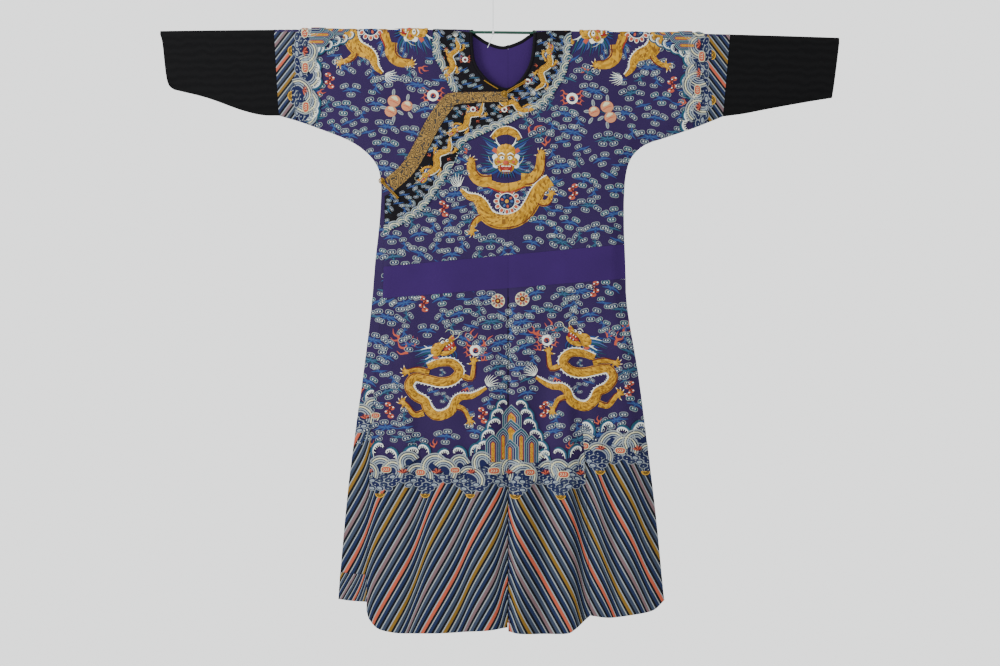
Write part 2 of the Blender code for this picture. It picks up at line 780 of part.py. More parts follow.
def add_overlap():
    """The outer right front, with its border and facing along the edge."""
    edge = overlap_edge_rows()
    side = smooth_curve(OVERLAP_SIDE, 2)
    waist = waist_line(WAIST_TOP, OVERLAP_SIDE[-1][0], CENTRE_X)
    outline = laid(edge) + laid(side)[1:] + laid(waist)[1:]
    outline += centre_up(down_at(*edge[0]), WAIST_TOP["z"])
    outline[0] = (CENTRE_X, outline[0][1])
    wall("right_overlap_bodice", outline, overlap_depth, "purple_silk", step=(0.038, 0.038))

    low = [p for p in border_inner_edge() if p[0] > BORDER_END_X]
    outline = laid(edge) + laid(reversed(low))
    outline[0] = (CENTRE_X, outline[0][1])
    outline[-1] = (CENTRE_X, outline[-1][1])
    laid_on = {"thickness": FACING, "lift": FACING_LIFT, "step": SMALL_STEP}
    wall("overlap_border", outline, overlap_depth, "gold_brocade", **laid_on)

    facing_low = smooth_curve(FACING_LOW_EDGE, 2)
    side_part = side_run(side, low[-1][1] - CREST_MARGIN, FACING_LOW_EDGE[-1][1] + CREST_MARGIN)
    outline = laid(low) + laid(side_part) + laid(reversed(facing_low))
    outline[0] = (CENTRE_X, outline[0][1])
    outline[-1] = (CENTRE_X, outline[-1][1])
    wall("overlap_facing", outline, overlap_depth, "dark_facing", **laid_on)


def add_collar():
    """Dark facings and the binding round the neck."""
    laid_on = {"thickness": FACING, "lift": FACING_LIFT, "step": SMALL_STEP}
    edges = neck_edges(BINDING_WIDTH + SEAM)
    left = edges["left"]
    outer = laid(smooth_curve(FACING_LEFT_EDGE, 2))
    shoulder = FACING_SHOULDERS[1]
    outline = left + crest_run(left[-1][0], shoulder, 0.02)[1:] + rounding_run(shoulder, 0.04) + outer
    outline[0] = (CENTRE_X, outline[0][1])
    outline[-1] = (CENTRE_X, outline[-1][1])
    wall("collar_facing_left", outline, left_front_depth, "dark_facing", **laid_on)

    overlap_top = down_at(0.0, OVERLAP_EDGE[0]["z"])
    right = [p for p in edges["right"] if p[1] < overlap_top - FACING_STOP]
    outer = laid(smooth_curve(FACING_RIGHT_EDGE, 2))
    shoulder = FACING_SHOULDERS[0]
    first_x, last_x = FACING_RIGHT_SPAN
    low = [(x, down_at(x, z) - BINDING_STOP) for x, z in overlap_edge_rows() if first_x < x < last_x]
    outline = right + crest_run(right[-1][0], shoulder, 0.02)[1:] + rounding_run(shoulder, 0.04) + outer
    outline += list(reversed(low))
    wall("collar_facing_right", outline, inner_depth, "dark_facing", **laid_on)

    back = edges["back"]
    outer = laid(smooth_curve(FACING_BACK_EDGE, 3))
    right_top = [(FACING_SHOULDERS[0], 0.0)] + rounding_run(FACING_SHOULDERS[0], 0.06)
    left_top = rounding_run(FACING_SHOULDERS[1], 0.06) + [(FACING_SHOULDERS[1], 0.0)]
    outline = (
        list(reversed(back))
        + crest_run(back[0][0], FACING_SHOULDERS[0], 0.02)[1:-1]
        + right_top
        + outer
        + sorted(left_top, key=lambda p: -p[1])
        + crest_run(FACING_SHOULDERS[1], back[-1][0], 0.02)[1:-1]
    )
    wall("collar_facing_back", outline, back_depth, "dark_facing", **laid_on)

    opening = neck_edges(0.0)
    bound = {"thickness": BINDING_WALL, "lift": BINDING_LIFT, "step": (0.02, 0.02)}
    set_back = neck_edges(BINDING_WIDTH)
    depths = {"left": left_front_depth, "right": inner_depth, "back": back_depth}
    for place, depth in depths.items():
        inner, outer = list(opening[place]), list(set_back[place])
        if place == "left":
            inner[0] = (CENTRE_X, inner[0][1])
            outer[0] = (CENTRE_X, outer[0][1])
        if place == "right":
            limit = overlap_top - BINDING_STOP
            end_x = CENTRE_X - FACING_STOP
            inner = [(x, min(down, limit)) for x, down in inner if x < end_x]
            outer = [(x, min(down, limit)) for x, down in outer if x < end_x]
            inner[0] = (end_x, inner[0][1])
            outer[0] = (end_x, outer[0][1])
        wall(f"neck_binding_{place}", inner + list(reversed(outer)), depth, "dark_facing", **bound)


def add_waist_bands():
    for name, start, end, depth in (
        ("left_front_waist", CENTRE_X, None, left_front_depth),
        ("right_overlap_waist", "overlap", CENTRE_X, overlap_depth),
        ("left_back_waist", CENTRE_X, None, back_depth),
        ("right_back_waist", None, CENTRE_X, back_depth),
    ):
        ends = []
        for band in (WAIST_TOP, WAIST_BOTTOM):
            if start == "overlap":
                ends.append((OVERLAP_SIDE[-1][0] if band is WAIST_TOP else SKIRT_FREE_EDGE[0][0], end))
            elif start is None:
                ends.append((side_at(lower_side("right"), band["z"]), end))
            else:
                ends.append((start, side_at(lower_side("left"), band["z"])))
        top = waist_line(WAIST_TOP, *ends[0], step=0.03)
        bottom = waist_line(WAIST_BOTTOM, *ends[1], step=0.03)
        wall(name, laid(top) + laid(reversed(bottom)), depth, "plain_purple", step=(0.030, 0.036))


def add_skirts():
    """The skirt panels, with the slit down the centre."""
    half_slit = SLIT_GAP / 2
    left_x, right_x = CENTRE_X + half_slit, CENTRE_X - half_slit
    gore_top_z = GORE_SEAM[0][1]
    folded = {"material": "striped_silk", "step": FOLD_STEP}

    top = waist_line(WAIST_BOTTOM, left_x, GORE_SEAM[0][0], step=FOLD_STEP[0])
    seam = along_seam(GORE_SEAM, gore_top_z, GORE_SEAM[-1][1])
    hem = smooth_curve(SKIRT_LEFT_HEM, 4)
    slit = between((left_x, SKIRT_LEFT_HEM[0][1]), (left_x, top[0][1]), FOLD_STEP[1])
    outline = laid(top) + laid(seam)[1:] + laid(reversed(hem))[1:] + laid(slit)[1:-1]
    wall("left_front_skirt", outline, left_front_depth, **folded)

    side_x = side_at(lower_side("left"), GORE_TOP_SIDE_Z)
    top = waist_line(WAIST_BOTTOM, GORE_SEAM[0][0], side_x, step=FOLD_STEP[0])
    hem = smooth_curve(GORE_HEM, 4)
    side = side_run(lower_side("left"), top[-1][1] - 0.01, GORE_HEM[-1][1] + 0.002)
    outline = laid(top) + laid(side) + laid(reversed(hem)) + laid(reversed(seam))[1:-1]
    wall("left_front_gore", outline, left_front_depth, **folded)

    top = waist_line(WAIST_BOTTOM, SKIRT_FREE_EDGE[0][0], right_x, step=FOLD_STEP[0])
    free = smooth_curve(SKIRT_FREE_EDGE, 3)
    hem = smooth_curve(SKIRT_FREE_HEM, 4)
    slit = between((right_x, SKIRT_FREE_HEM[-1][1]), (right_x, top[-1][1]), FOLD_STEP[1])
    outline = laid(reversed(top)) + laid(free)[1:] + laid(hem)[1:] + laid(slit)[1:-1]
    wall("right_overlap_skirt", outline, overlap_depth, **folded)

    for side, hem_rows, x in (("left", BACK_HEM_LEFT, left_x), ("right", BACK_HEM_RIGHT, right_x)):
        edge_x = side_at(lower_side(side), WAIST_BOTTOM["z"])
        top = waist_line(WAIST_BOTTOM, x, edge_x, step=BACK_STEP[0])
        hem = smooth_curve(hem_rows, 4)
        if side == "right":
            hem = list(reversed(hem))
        run = side_run(lower_side(side), top[-1][1] - 0.01, hem[-1][1] + 0.002)
        slit = between(hem[0], top[0], BACK_STEP[1])
        outline = laid(top) + laid(run) + laid(reversed(hem)) + laid(slit)[1:-1]
        wall(f"{side}_back_skirt", outline, back_depth, "striped_silk", step=BACK_STEP)


def add_sleeves():
    """The plain lower sleeves, front and back, which meet along the crest and the underarm."""
    cuts = {"right": (CUFF_RIGHT, inner_depth), "left": (CUFF_LEFT, left_front_depth)}
    for side, (cuff_rows, front_depth) in cuts.items():
        seam_top = SLEEVE_SEAM_TOP[side]
        cuff_x = cuff_rows[0][0]
        cuff = laid(smooth_curve(cuff_rows, 2))
        low = laid(SLEEVE_LOW_CURVES[side])
        cuff_top = rounding_run(cuff_x, cuff[0][1] + 0.002, CREST_ROWS[:4])
        seam_top_rows = rounding_run(seam_top, 1.0)[:-1]
        seam = between(low[-1], (seam_top, CREST_ROWS[-1]), FLAT_STEP[1])
        outline = crest_run(seam_top, cuff_x) + cuff_top + cuff[1:] + low[1:] + seam[1:]
        outline += list(reversed(seam_top_rows))
        for face, depth in (("front", front_depth), ("back", back_depth)):
            wall(f"{side}_sleeve_{face}", outline, depth, "black_cloth", step=(0.044, 0.040))


def tube(name, points, radius, material, sides=2):
    """A bar, cord or loop along a line of points."""
    curve = bpy.data.curves.new(name, "CURVE")
    curve.dimensions = "3D"
    curve.bevel_depth = radius
    curve.bevel_resolution = sides
    curve.use_fill_caps = True
    spline = curve.splines.new("POLY")
    spline.points.add(len(points) - 1)
    for place, point in zip(spline.points, points):
        place.co = (*point, 1.0)
    return add_object(name, curve, material)


def ball(name, centre, radius, material):
    mesh = bpy.data.meshes.new(name)
    shape = bmesh.new()
    bmesh.ops.create_uvsphere(shape, u_segments=12, v_segments=8, radius=radius)
    shape.to_mesh(mesh)
    shape.free()
    obj = add_object(name, mesh, material)
    obj.location = centre
    return obj


def loop_around(name, depth, foot, knob):
    """A loop of cord sewn down at its foot, whose two strands go round the ball at its head."""
    foot, head = np.array(foot), np.array((knob.x, knob.z))
    along = (head - foot) / np.linalg.norm(head - foot)
    side = np.array((-along[1], along[0]))
    radius = BUTTON_RADIUS + SEAM + LOOP_RADIUS
    half_gap = LOOP_RADIUS + SEAM
    opening = math.asin(half_gap / radius)
    angles = np.linspace(-math.pi + opening, math.pi - opening, LOOP_POINTS)
    ring = [head + along * radius * math.cos(a) + side * radius * math.sin(a) for a in angles]
    ring = [Vector((x, knob.y, z)) for x, z in ring]
    strands = []
    for turn, end in ((-1, ring[0]), (1, ring[-1])):
        start = foot + side * half_gap * turn
        strand = []
        for row in STRAND_POINTS:
            x, z = start + (np.array((end.x, end.z)) - start) * row["along"]
            strand.append(on_cloth(depth, x, down_at(x, z), CLOSURE_LIFT).lerp(end, row["risen"]))
        strands.append(strand)
    route = strands[0] + ring + list(reversed(strands[1]))
    tube(name, route, LOOP_RADIUS, "gold_cord", sides=1)


def add_closures():
    """Ball buttons and their loops at the neck and at the side, and the neck button's stem."""
    seat = WALL / 2 + SEAM + BUTTON_RADIUS
    on_facing = seat + LAID_GAP + FACING
    centre = on_cloth(overlap_depth, NECK_KNOB[0], down_at(*NECK_KNOB), on_facing)
    ball("neck_button", centre, BUTTON_RADIUS, "gold_cord")
    loop_around("neck_loop", left_front_depth, NECK_LOOP_FOOT, centre)
    route = [on_cloth(inner_depth, x, down_at(x, z), CLOSURE_LIFT) for x, z in NECK_STEM]
    tube("neck_stem", route, LOOP_RADIUS, "gold_cord", sides=1)

    centre = on_cloth(inner_depth, SIDE_KNOB[0], down_at(*SIDE_KNOB), seat)
    ball("side_button", centre, BUTTON_RADIUS, "gold_cord")
    loop_around("side_loop", overlap_depth, SIDE_LOOP_FOOT, centre)


def add_rod_and_cord():
    count = 19
    start, end = ROD_ENDS_X
    line = [start + (end - start) * i / (count - 1) for i in range(count)]
    tube("rod", [(x, 0.0, rod_z(x)) for x in line], ROD_RADIUS, "green_rod", sides=3)

    mesh = bpy.data.meshes.new("hanging_fitting")
    shape = bmesh.new()
    sizes = {"radius1": FITTING_RADIUS, "radius2": FITTING_RADIUS, "depth": FITTING_HEIGHT}
    bmesh.ops.create_cone(shape, cap_ends=True, segments=20, **sizes)
    shape.to_mesh(mesh)
    shape.free()
    fitting = add_object("hanging_fitting", mesh, "metal")
    fitting.location = (0.0, 0.0, -FITTING_HEIGHT / 2)

    wrap_radius = ROD_RADIUS + SEAM + KNOT_RADIUS
    knot_top = rod_z(0.0) + wrap_radius + KNOT_RADIUS
    cord_top = -FITTING_HEIGHT - SEAM
    cord_low = knot_top + SEAM
    line = [(0.0, 0.0, cord_top + (cord_low - cord_top) * i / 16) for i in range(17)]
    tube("hanging_cord", line, CORD_RADIUS, "hanging_cord")

    mesh = bpy.data.meshes.new("cord_knot")
    shape = bmesh.new()
    around, section = KNOT_SIDES
    ring = []
    for i in range(around):
        turn = 2 * math.pi * i / around
        radial = Vector((0.0, math.cos(turn), math.sin(turn)))
        circle = []
        for k in range(section):
            angle = 2 * math.pi * k / section
            reach = wrap_radius + KNOT_RADIUS * math.cos(angle)
            circle.append(shape.verts.new(radial * reach + Vector((KNOT_RADIUS * math.sin(angle), 0, 0))))
        ring.append(circle)
    for i in range(around):
        after = ring[(i + 1) % around]
        for k in range(section):
            beside = (k + 1) % section
            shape.faces.new((ring[i][k], after[k], after[beside], ring[i][beside]))
    bmesh.ops.recalc_face_normals(shape, faces=shape.faces)
    shape.to_mesh(mesh)
    shape.free()
    knot = add_object("cord_knot", mesh, "hanging_cord")
    knot.location = (0.0, 0.0, rod_z(0.0))

    away = Vector(TAIL_DIRECTION).normalized()
    cap_rise = TAIL_RADIUS * math.hypot(away.x, away.y)
    first = Vector((0.0, 0.0, rod_z(0.0) - wrap_radius - KNOT_RADIUS - SEAM - cap_rise))
    line = [first + away * TAIL_LENGTH * i / 8 for i in range(9)]
    tube("cord_tail", line, TAIL_RADIUS, "hanging_cord")


clear_scene()
collection = bpy.data.collections.new("dragon_robe")
bpy.context.scene.collection.children.link(collection)
for colour_name in COLOURS:
    make_material(colour_name)
add_bodices()
add_inner_front()
add_overlap()
add_collar()
add_waist_bands()
add_skirts()
add_sleeves()
add_closures()
add_rod_and_cord()
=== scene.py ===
"""The looks of a dragon robe hung on a rod: its cloth, embroidery, trims, cord and a plain stage.

Metres, +Z up. The front faces -Y. Cloth is drawn on the cut plane, as points (x, s), where s is the length
of cloth down the front from the rod's crest, and is negative down the back. Motifs are drawn in millimetres.
"""

import math

import bpy
import numpy as np
from mathutils.geometry import delaunay_2d_cdt
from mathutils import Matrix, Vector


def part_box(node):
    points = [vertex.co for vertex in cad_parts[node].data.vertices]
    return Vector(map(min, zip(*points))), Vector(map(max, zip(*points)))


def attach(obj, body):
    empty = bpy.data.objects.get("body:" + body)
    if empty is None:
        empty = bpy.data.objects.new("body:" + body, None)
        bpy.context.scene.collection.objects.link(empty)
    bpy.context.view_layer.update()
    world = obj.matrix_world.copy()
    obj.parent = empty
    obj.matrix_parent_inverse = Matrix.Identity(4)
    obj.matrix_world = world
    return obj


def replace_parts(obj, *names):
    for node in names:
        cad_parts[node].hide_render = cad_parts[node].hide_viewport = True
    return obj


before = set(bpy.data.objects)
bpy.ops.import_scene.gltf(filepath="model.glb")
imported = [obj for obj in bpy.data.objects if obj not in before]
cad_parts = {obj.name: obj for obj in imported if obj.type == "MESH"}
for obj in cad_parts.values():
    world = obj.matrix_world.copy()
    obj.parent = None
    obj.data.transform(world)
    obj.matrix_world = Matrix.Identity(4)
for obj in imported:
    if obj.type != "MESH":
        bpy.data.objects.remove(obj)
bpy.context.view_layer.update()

bl_info = {
    "name": "Dragon robe",
    "version": (1, 0, 0),
    "blender": (4, 5, 0),
    "location": "3D View > Sidebar > Robe",
    "description": "Dresses a dragon robe that hangs on a rod, with its embroidery",
    "category": "Add Mesh",
}


def table(columns, *rows):
    """Rows as dictionaries that share their column names."""
    return [dict(zip(columns.split(), row)) for row in rows]


# The rod and how the layers of cloth stand off it
CLOTH = 0.0014
LAID_CLOTH = 0.0008
ROD_RADIUS = 0.0035
CREST_RADIUS = 0.0048
QUARTER_TURN = CREST_RADIUS * math.pi / 2
ROD_MIDDLE_Z = -0.1066
ROD_TILT = 0.00936
ROD_BOW = 0.015
INNER_SWELL = 0.003
LAYER_STEP = 0.0028
BACK_SWELL = 0.0062
SLEEVE_SWELL = 0.0022
SWELL_LENGTH = 0.11
SKIRT_SWELL = 0.005
SIDE_ROLL = 0.028
SIDE_GAP = 0.00115
FACING_LIFT = 0.002
CENTRE_X = 0.036
TORSO_HALF_WIDTH = 0.25
SLEEVE_START = 0.4
FOLD_START_Z = -0.6
FOLD_FULL_Z = -1.3
HEM_Z = -1.545
BINDING_WIDTH = 0.0075
SEAM = 0.0003
WAIST_TOP = {"z": -0.6411, "slope": 0.0934}
WAIST_BOTTOM = {"z": -0.7209, "slope": 0.0809}

# Outlines as seen from the front, each row a point (x, z)
CUFF = {
    "right": [(-0.7982, -0.112), (-0.7925, -0.1344), (-0.7848, -0.203), (-0.778, -0.233), (-0.766, -0.244)],
    "left": [(0.8304, -0.133), (0.8232, -0.1915), (0.8136, -0.264)],
}
SLEEVE_LOW = {
    "right": [(-0.766, -0.244), (-0.6854, -0.264), (-0.608, -0.292), (-0.556, -0.305), (-0.5136, -0.3065)],
    "left": [(0.8136, -0.264), (0.7536, -0.2736), (0.66, -0.2905), (0.6012, -0.302), (0.5515, -0.3084)],
}
UNDERARM = {
    "right": [
        (-0.5136, -0.3065), (-0.4632, -0.321), (-0.4056, -0.342), (-0.348, -0.365), (-0.308, -0.391),
        (-0.279, -0.425), (-0.269, -0.464), (-0.269, -0.51), (-0.273, -0.57), (-0.283, -0.66),
        (-0.2928, -0.7776), (-0.3144, -0.9504), (-0.3456, -1.1808), (-0.3672, -1.4112), (-0.3708, -1.4664),
    ],
    "left": [
        (0.5515, -0.3084), (0.4824, -0.336), (0.4152, -0.359), (0.366, -0.376), (0.336, -0.402),
        (0.3216, -0.435), (0.315, -0.49), (0.3144, -0.576), (0.3168, -0.6624), (0.3225, -0.77),
        (0.348, -0.9216), (0.372, -1.1088), (0.3912, -1.2672), (0.408, -1.44), (0.4116, -1.4688),
    ],
}
SLEEVE_SEAM_TOP = {"right": -0.5256, "left": 0.5688}
NECK_SHOULDERS = (-0.048, 0.096)
NECK_FRONT = [(-0.047, -0.154), (-0.04, -0.184), (-0.0216, -0.2107), (0.002, -0.231), (0.035, -0.2417)]
NECK_FRONT_LEFT = [(0.035, -0.2417), (0.0586, -0.2273), (0.0766, -0.2052), (0.0888, -0.1776), (0.0945, -0.1459)]
NECK_BACK = [(-0.03, -0.118), (-0.007, -0.131), (0.025, -0.139), (0.0586, -0.129), (0.079, -0.117)]
OVERLAP_EDGE = table(
    "x z border",
    (0.035, -0.25, 0.024), (-0.04, -0.251, 0.025),
    (-0.1, -0.253, 0.03), (-0.122, -0.266, 0.035),
    (-0.16, -0.319, 0.036), (-0.2112, -0.4142, 0.036),
    (-0.259, -0.46, 0.036),
)
OVERLAP_SIDE = [(-0.26, -0.462), (-0.259, -0.5), (-0.26, -0.6), (-0.262, -0.669)]
SKIRT_FREE_EDGE = [(-0.264, -0.745), (-0.2815, -0.924), (-0.2925, -1.08), (-0.3, -1.32), (-0.303, -1.4928)]
SKIRT_FREE_HEM = [
    (-0.303, -1.4928), (-0.294, -1.5168), (-0.263, -1.54), (-0.175, -1.547), (-0.0312, -1.5408),
    (0.0354, -1.5336),
]
SKIRT_LEFT_HEM = [(0.0366, -1.5432), (0.1, -1.547), (0.1728, -1.5456), (0.197, -1.534), (0.2328, -1.504)]
GORE_SEAM = [(0.19, -0.708), (0.2184, -1.121), (0.2328, -1.504)]
GORE_HEM = [(0.2328, -1.504), (0.2832, -1.509), (0.3312, -1.502), (0.381, -1.493), (0.4116, -1.4688)]
INNER_HEM = [(-0.3708, -1.4664), (-0.305, -1.472), (-0.055, -1.485)]
INNER_EDGE = [(-0.055, -1.485), (-0.02, -1.1), (0.01, -0.76), (0.029, -0.26)]
INNER_HEM_BAND_HEIGHT = 0.066
BACK_HEM = {
    "right": [(-0.3708, -1.4664), (-0.305, -1.47), (-0.27, -1.485), (-0.12, -1.515), (0.0354, -1.522)],
    "left": [(0.4116, -1.4688), (0.34, -1.49), (0.2328, -1.498), (0.15, -1.516), (0.0366, -1.522)],
}
FACING_LEFT_EDGE = [
    (0.1865, -0.118), (0.184, -0.15), (0.1752, -0.2011), (0.1531, -0.241), (0.1219, -0.2808),
    (0.0732, -0.3072), (0.036, -0.326),
]
FACING_RIGHT_EDGE = [(-0.1442, -0.115), (-0.143, -0.1567), (-0.1265, -0.192), (-0.1087, -0.2277), (-0.1, -0.247)]
FACING_LOW_EDGE = [
    (0.035, -0.3262), (-0.046, -0.361), (-0.073, -0.379), (-0.1, -0.432), (-0.131, -0.4807),
    (-0.162, -0.5251), (-0.2064, -0.5606), (-0.2585, -0.587),
]
FACING_BACK_EDGE = [
    (-0.1442, -0.113), (-0.135, -0.17), (-0.09, -0.215), (0.021, -0.242), (0.132, -0.215),
    (0.177, -0.17), (0.1865, -0.115),
]
FRONT_FOLDS = table(
    "x_waist x_hem left right rise",
    (-0.262, -0.303, 0.03, 0.034, -0.004), (-0.19, -0.222, 0.045, 0.03, 0.0065),
    (-0.1, -0.12, 0.06, 0.06, 0.005), (0.000, -0.016, 0.06, 0.046, 0.0065),
    (0.036, 0.036, 0.044, 0.02, -0.0075), (0.06, 0.062, 0.024, 0.075, 0.018),
    (0.165, 0.19, 0.08, 0.032, 0.015), (0.235, 0.262, 0.03, 0.04, 0.0055),
    (0.29, 0.335, 0.04, 0.045, 0.008),
)
BACK_FOLDS = table(
    "x_waist x_hem left right rise",
    (-0.17, -0.235, 0.06, 0.06, 0.007), (-0.06, -0.09, 0.055, 0.06, 0.0075),
    (0.036, 0.036, 0.045, 0.045, -0.004), (0.13, 0.16, 0.06, 0.055, 0.008),
    (0.24, 0.3, 0.06, 0.06, 0.007),
)

# Heights of the embroidered bands on the skirt
WAVE_TOP_Z = -1.109
STRIPE_TOP_Z = -1.198

# Thread colours, 0 to 255, and the roughness of those that differ from the rest
THREADS = {
    "white": (176, 180, 171), "cream": (155, 154, 125), "grey": (104, 114, 122),
    "pale_blue": (48, 70, 104), "blue": (21, 41, 86), "deep_blue": (11, 17, 50),
    "teal": (16, 52, 64), "navy": (2, 3, 9), "coral": (134, 60, 42),
    "red": (102, 22, 20), "dark_red": (63, 12, 18), "pink_grey": (84, 66, 69),
    "gold": (126, 90, 12), "light_gold": (150, 112, 24), "dark_gold": (94, 62, 10),
    "ochre": (92, 68, 20), "slate": (36, 44, 60), "steel_blue": (17, 27, 54),
    "silver": (106, 112, 114), "peach": (150, 98, 70), "black": (4, 4, 6),
}
THREAD_ROUGHNESS = 0.5
GOLD_METAL = 0.15
ROUGHNESS = {
    "white": 0.55, "cream": 0.55, "grey": 0.55, "gold": 0.46, "light_gold": 0.44,
    "dark_gold": 0.48, "black": 0.55,
}
THREAD_NAMES = list(THREADS)
EDGE_LIFT = 0.00012
LEVEL_STEP = 0.0003
CROWN = 0.0004

# Pitches of the weaves and stitches
WEAVE_PITCH = 0.00035
RIB_PITCH = 0.0022
MOIRE_PITCH = 0.019
STITCH_PITCH = 0.0007
BROCADE_PITCH = 0.0006
PLY_STEP = 0.0006

# How the cloth's meshes are cut
LEAST_STEP = 0.0006
RING_STEP = 0.006
STRIPE_RING_STEP = 0.007
STRIPE_ROW = 0.0075
LAYER_GAP = 0.0012
HALF_SLIT = 0.0006
SKIRT_STEP = (0.0045, 0.012)
FACING_STEP = (0.006, 0.006)
HEM_BAND_STEP = (0.006, 0.008)
LAID_ON = {"lift": FACING_LIFT, "thickness": LAID_CLOTH}

# Needlework: shades of gold, the sizes and spacings of motifs in millimetres, and the first seed
DARK_GOLD_SHARE = 0.2
LIGHT_GOLD_FROM = 0.6
HAIR = ("blue", "teal", "pale_blue")
HEAD_HEIGHT = 1.15
LOBE = 108.0
SCALE_STEP = (20, 9.4)
CREST_SPACING = 40
ARCH_SPACING = 31.0
DISC_SPACING = 84
FIRST_SEED = 11

# Clouds and foam over the cloth, and the room that motifs keep clear, as half width and half height
BIG_CLOUDS = {"spacing": (0.063, 0.044), "margin": 0.012}
BIG_CLOUD_SIZE = 0.92
CLOUD_REACH = (0.041, 0.029)
SMALL_CLOUDS = {"spacing": (0.034, 0.026), "margin": 0.005}
SMALL_CLOUD_SIZE = 0.8
FACING_CLOUDS = {"spacing": (0.022, 0.019), "margin": 0.01}
FACING_CLOUD_SIZE = 0.55
CLOUD_TURN = 0.35
SCATTER_TRIES = 5000
WALKING_REACH = (0.112, 0.118)
SHOULDER_REACH = (0.124, 0.112)
CHEST_REACH = (0.112, 0.15)
PEAKS_REACH = (0.085, 0.09)
PEACH_REACH = (0.054, 0.046)
SMALL_REACH = (0.034, 0.034)
FACING_DRAGON_REACH = (0.07, 0.05)
FACING_PEARL_REACH = (0.016, 0.014)
SLEEVE_CLEARANCE = 0.012
WAVE_CLEARANCE = 0.022
COVERED_MARGIN = 0.004
FOAM_STEP = 0.022
FOAM_START = 0.008

# Where motifs go, as (x, z) seen from the front
CHEST_PLACE = (0.0312, -0.4128)
DRAGON_MIDDLE = 0.048
WALKING_PLACES = ((-0.122, -0.9528, False), (0.209, -0.93, True))
SHOULDER_PLACES = ((-0.193, -math.pi / 2, False), (0.244, math.pi / 2, True))
SMALL_MOTIFS = {
    "peach": ((-0.224, -0.286), (0.26, -0.3)),
    "pearl": ((-0.144, -0.2592), (0.1896, -0.2664)),
    "bat": (
        (-0.3912, -0.2232), (0.4296, -0.2328), (-0.1176, -0.5304), (0.192, -0.4896), (-0.1656, -0.7584),
        (0.2424, -0.7224), (-0.2472, -1.0128), (-0.024, -1.0248), (0.1224, -1.0104), (0.3264, -0.9624),
    ),
    "medallion": ((0.0115, -0.7512), (0.07, -0.7464)),
}
MOUNTAIN_X = 0.045
PEAKS_Z = -1.06
FACING_DRAGONS = (
    (0.126, -0.19, 0.46, 1.25, False),
    (-0.064, -0.322, 0.44, 0.75, True),
    (-0.136, -0.42, 0.5, 0.98, True),
    (0.06, -0.286, 0.4, -0.35, False),
    (-0.1, -0.18, 0.44, 1.3, True),
)
FACING_PEARLS = ((-0.067, -0.173), (-0.048, -0.293), (0.083, -0.226), (0.027, -0.293), (-0.175, -0.33))

# The stripes and the sea bands
BAND_X = 0.05
STRIPE_PITCH = 0.0176
STRIPE_LEAN = 1 / math.sqrt(3)
STRIPE_ORDER = ("coral", "steel_blue", "slate", "ochre", "slate", "steel_blue", "pink_grey", "slate", "steel_blue")
STRIPE_SHARES = (0.0, 0.18, 0.66)
STRIPE_RISE = 0.0009
STRIPE_OVER_SEA = 0.014
SEA_UNDER_STRIPE = 0.016
PEAKS_UNDER_WAVE = 0.022
GORE_RISE = 0.06
GORE_SEA_X = 0.31
INNER_SEA_X = -0.3
INNER_STRIPE_TOP_Z = -1.061
INNER_SEA_DOWN = 0.022
INNER_OVERRUN = 0.03
INNER_SHOWS_TO = -0.22
HEM_BAND_PITCH = 0.0105
SLEEVE_BAND_STARTS = {"right": -0.418, "left": 0.462}
SLEEVE_STRIPE_STARTS = {"right": -0.47, "left": 0.512}
SLEEVE_STRIPE_LEAN = 0.78
SLEEVE_STRIPE_PITCH = 0.0166
SLEEVE_PEAK_SIZE = 0.72
SLEEVE_PEAKS_IN = 0.034
SLEEVE_SEA_OUT = 0.012
SLEEVE_SEA_FROM = 0.3

# Where the cloth is drawn together into a fold's flank: its place at the top of the stripes and at the hem
FLANKS = table(
    "top hem pull width",
    (-0.296, -0.3, 0.012, 0.014), (-0.146, -0.2, 0.013, 0.017),
    (-0.058, -0.072, 0.005, 0.02), (0.026, 0.024, 0.01, 0.012),
    (0.052, 0.05, 0.006, 0.012), (0.196, 0.21, 0.014, 0.015),
    (0.252, 0.286, 0.009, 0.016), (0.34, 0.368, 0.006, 0.02),
)
FLANKS_START = 1.08
FLANKS_LENGTH = 0.34
FLANK_WAVE = 0.006

# The binding, the centre seams, and the painted shade and shadow along the centre seams and slits
BINDING_HALF_THICKNESS = 0.0018
BINDING_OVERHANG = 0.0005
BINDING_STEP = 0.003
BINDING_LIFT = 0.0004
# Width of the black seam allowance, painted shade where the centre seams and slits show through
SEAM_ALLOWANCE_SHADE = 0.007
# Width of the black line of painted shadow down each slit
SLIT_SHADOW_LINE = 0.0022
NECK_FOOT_Z = -0.262
SLIT_TOP_Z = -0.74

# Cords, their turns a metre, and the fastenings
CORD_RADIUS = 0.001
CORD_TWIST = 160.0
TAIL_RADIUS = 0.0008
TAIL_TWIST = 220.0
CORD_SPANS = 120
KNOT_TURNS = 2
KNOT_HALF_WIDTH = 0.0022
STRAND_SHARE = 0.56
WINDING_SHARE = 0.48
LOOP_RADIUS = 0.0014
BRAID_TWIST = 190.0
LOOP_FEET = {"neck": (0.08, -0.224), "side": (-0.227, -0.506)}
NECK_STEM = [(-0.021, -0.223), (-0.01, -0.2305), (0.002, -0.238), (0.012, -0.2435)]
CLOSURE_LIFT = 0.0048

# The camera, the stage and the lights: place, size and power
SENSOR_WIDTH = 36.0
FRAME_WIDTH = 2.4
FRAME_CENTRE = (0.0168, -0.828)
FLOOR_Z = -1.78
FLOOR_THICKNESS = 0.02
AIM = (0.0, 0.0, -0.8)
ROOM_COLOUR = (232, 233, 233)
ROOM_STRENGTH = 2.25
LIGHTS = (
    ("key_light", (-3.4, -2.0, 0.9), 1.2, 320.0),
    ("fill_light", (1.6, -3.2, 1.4), 2.4, 30.0),
)


def linear(colour):
    """A daylight colour from 0 to 255 as the renderer's linear values."""
    share = np.array(colour, float) / 255
    return tuple(np.where(share < 0.04045, share / 12.92, ((share + 0.055) / 1.055) ** 2.4))


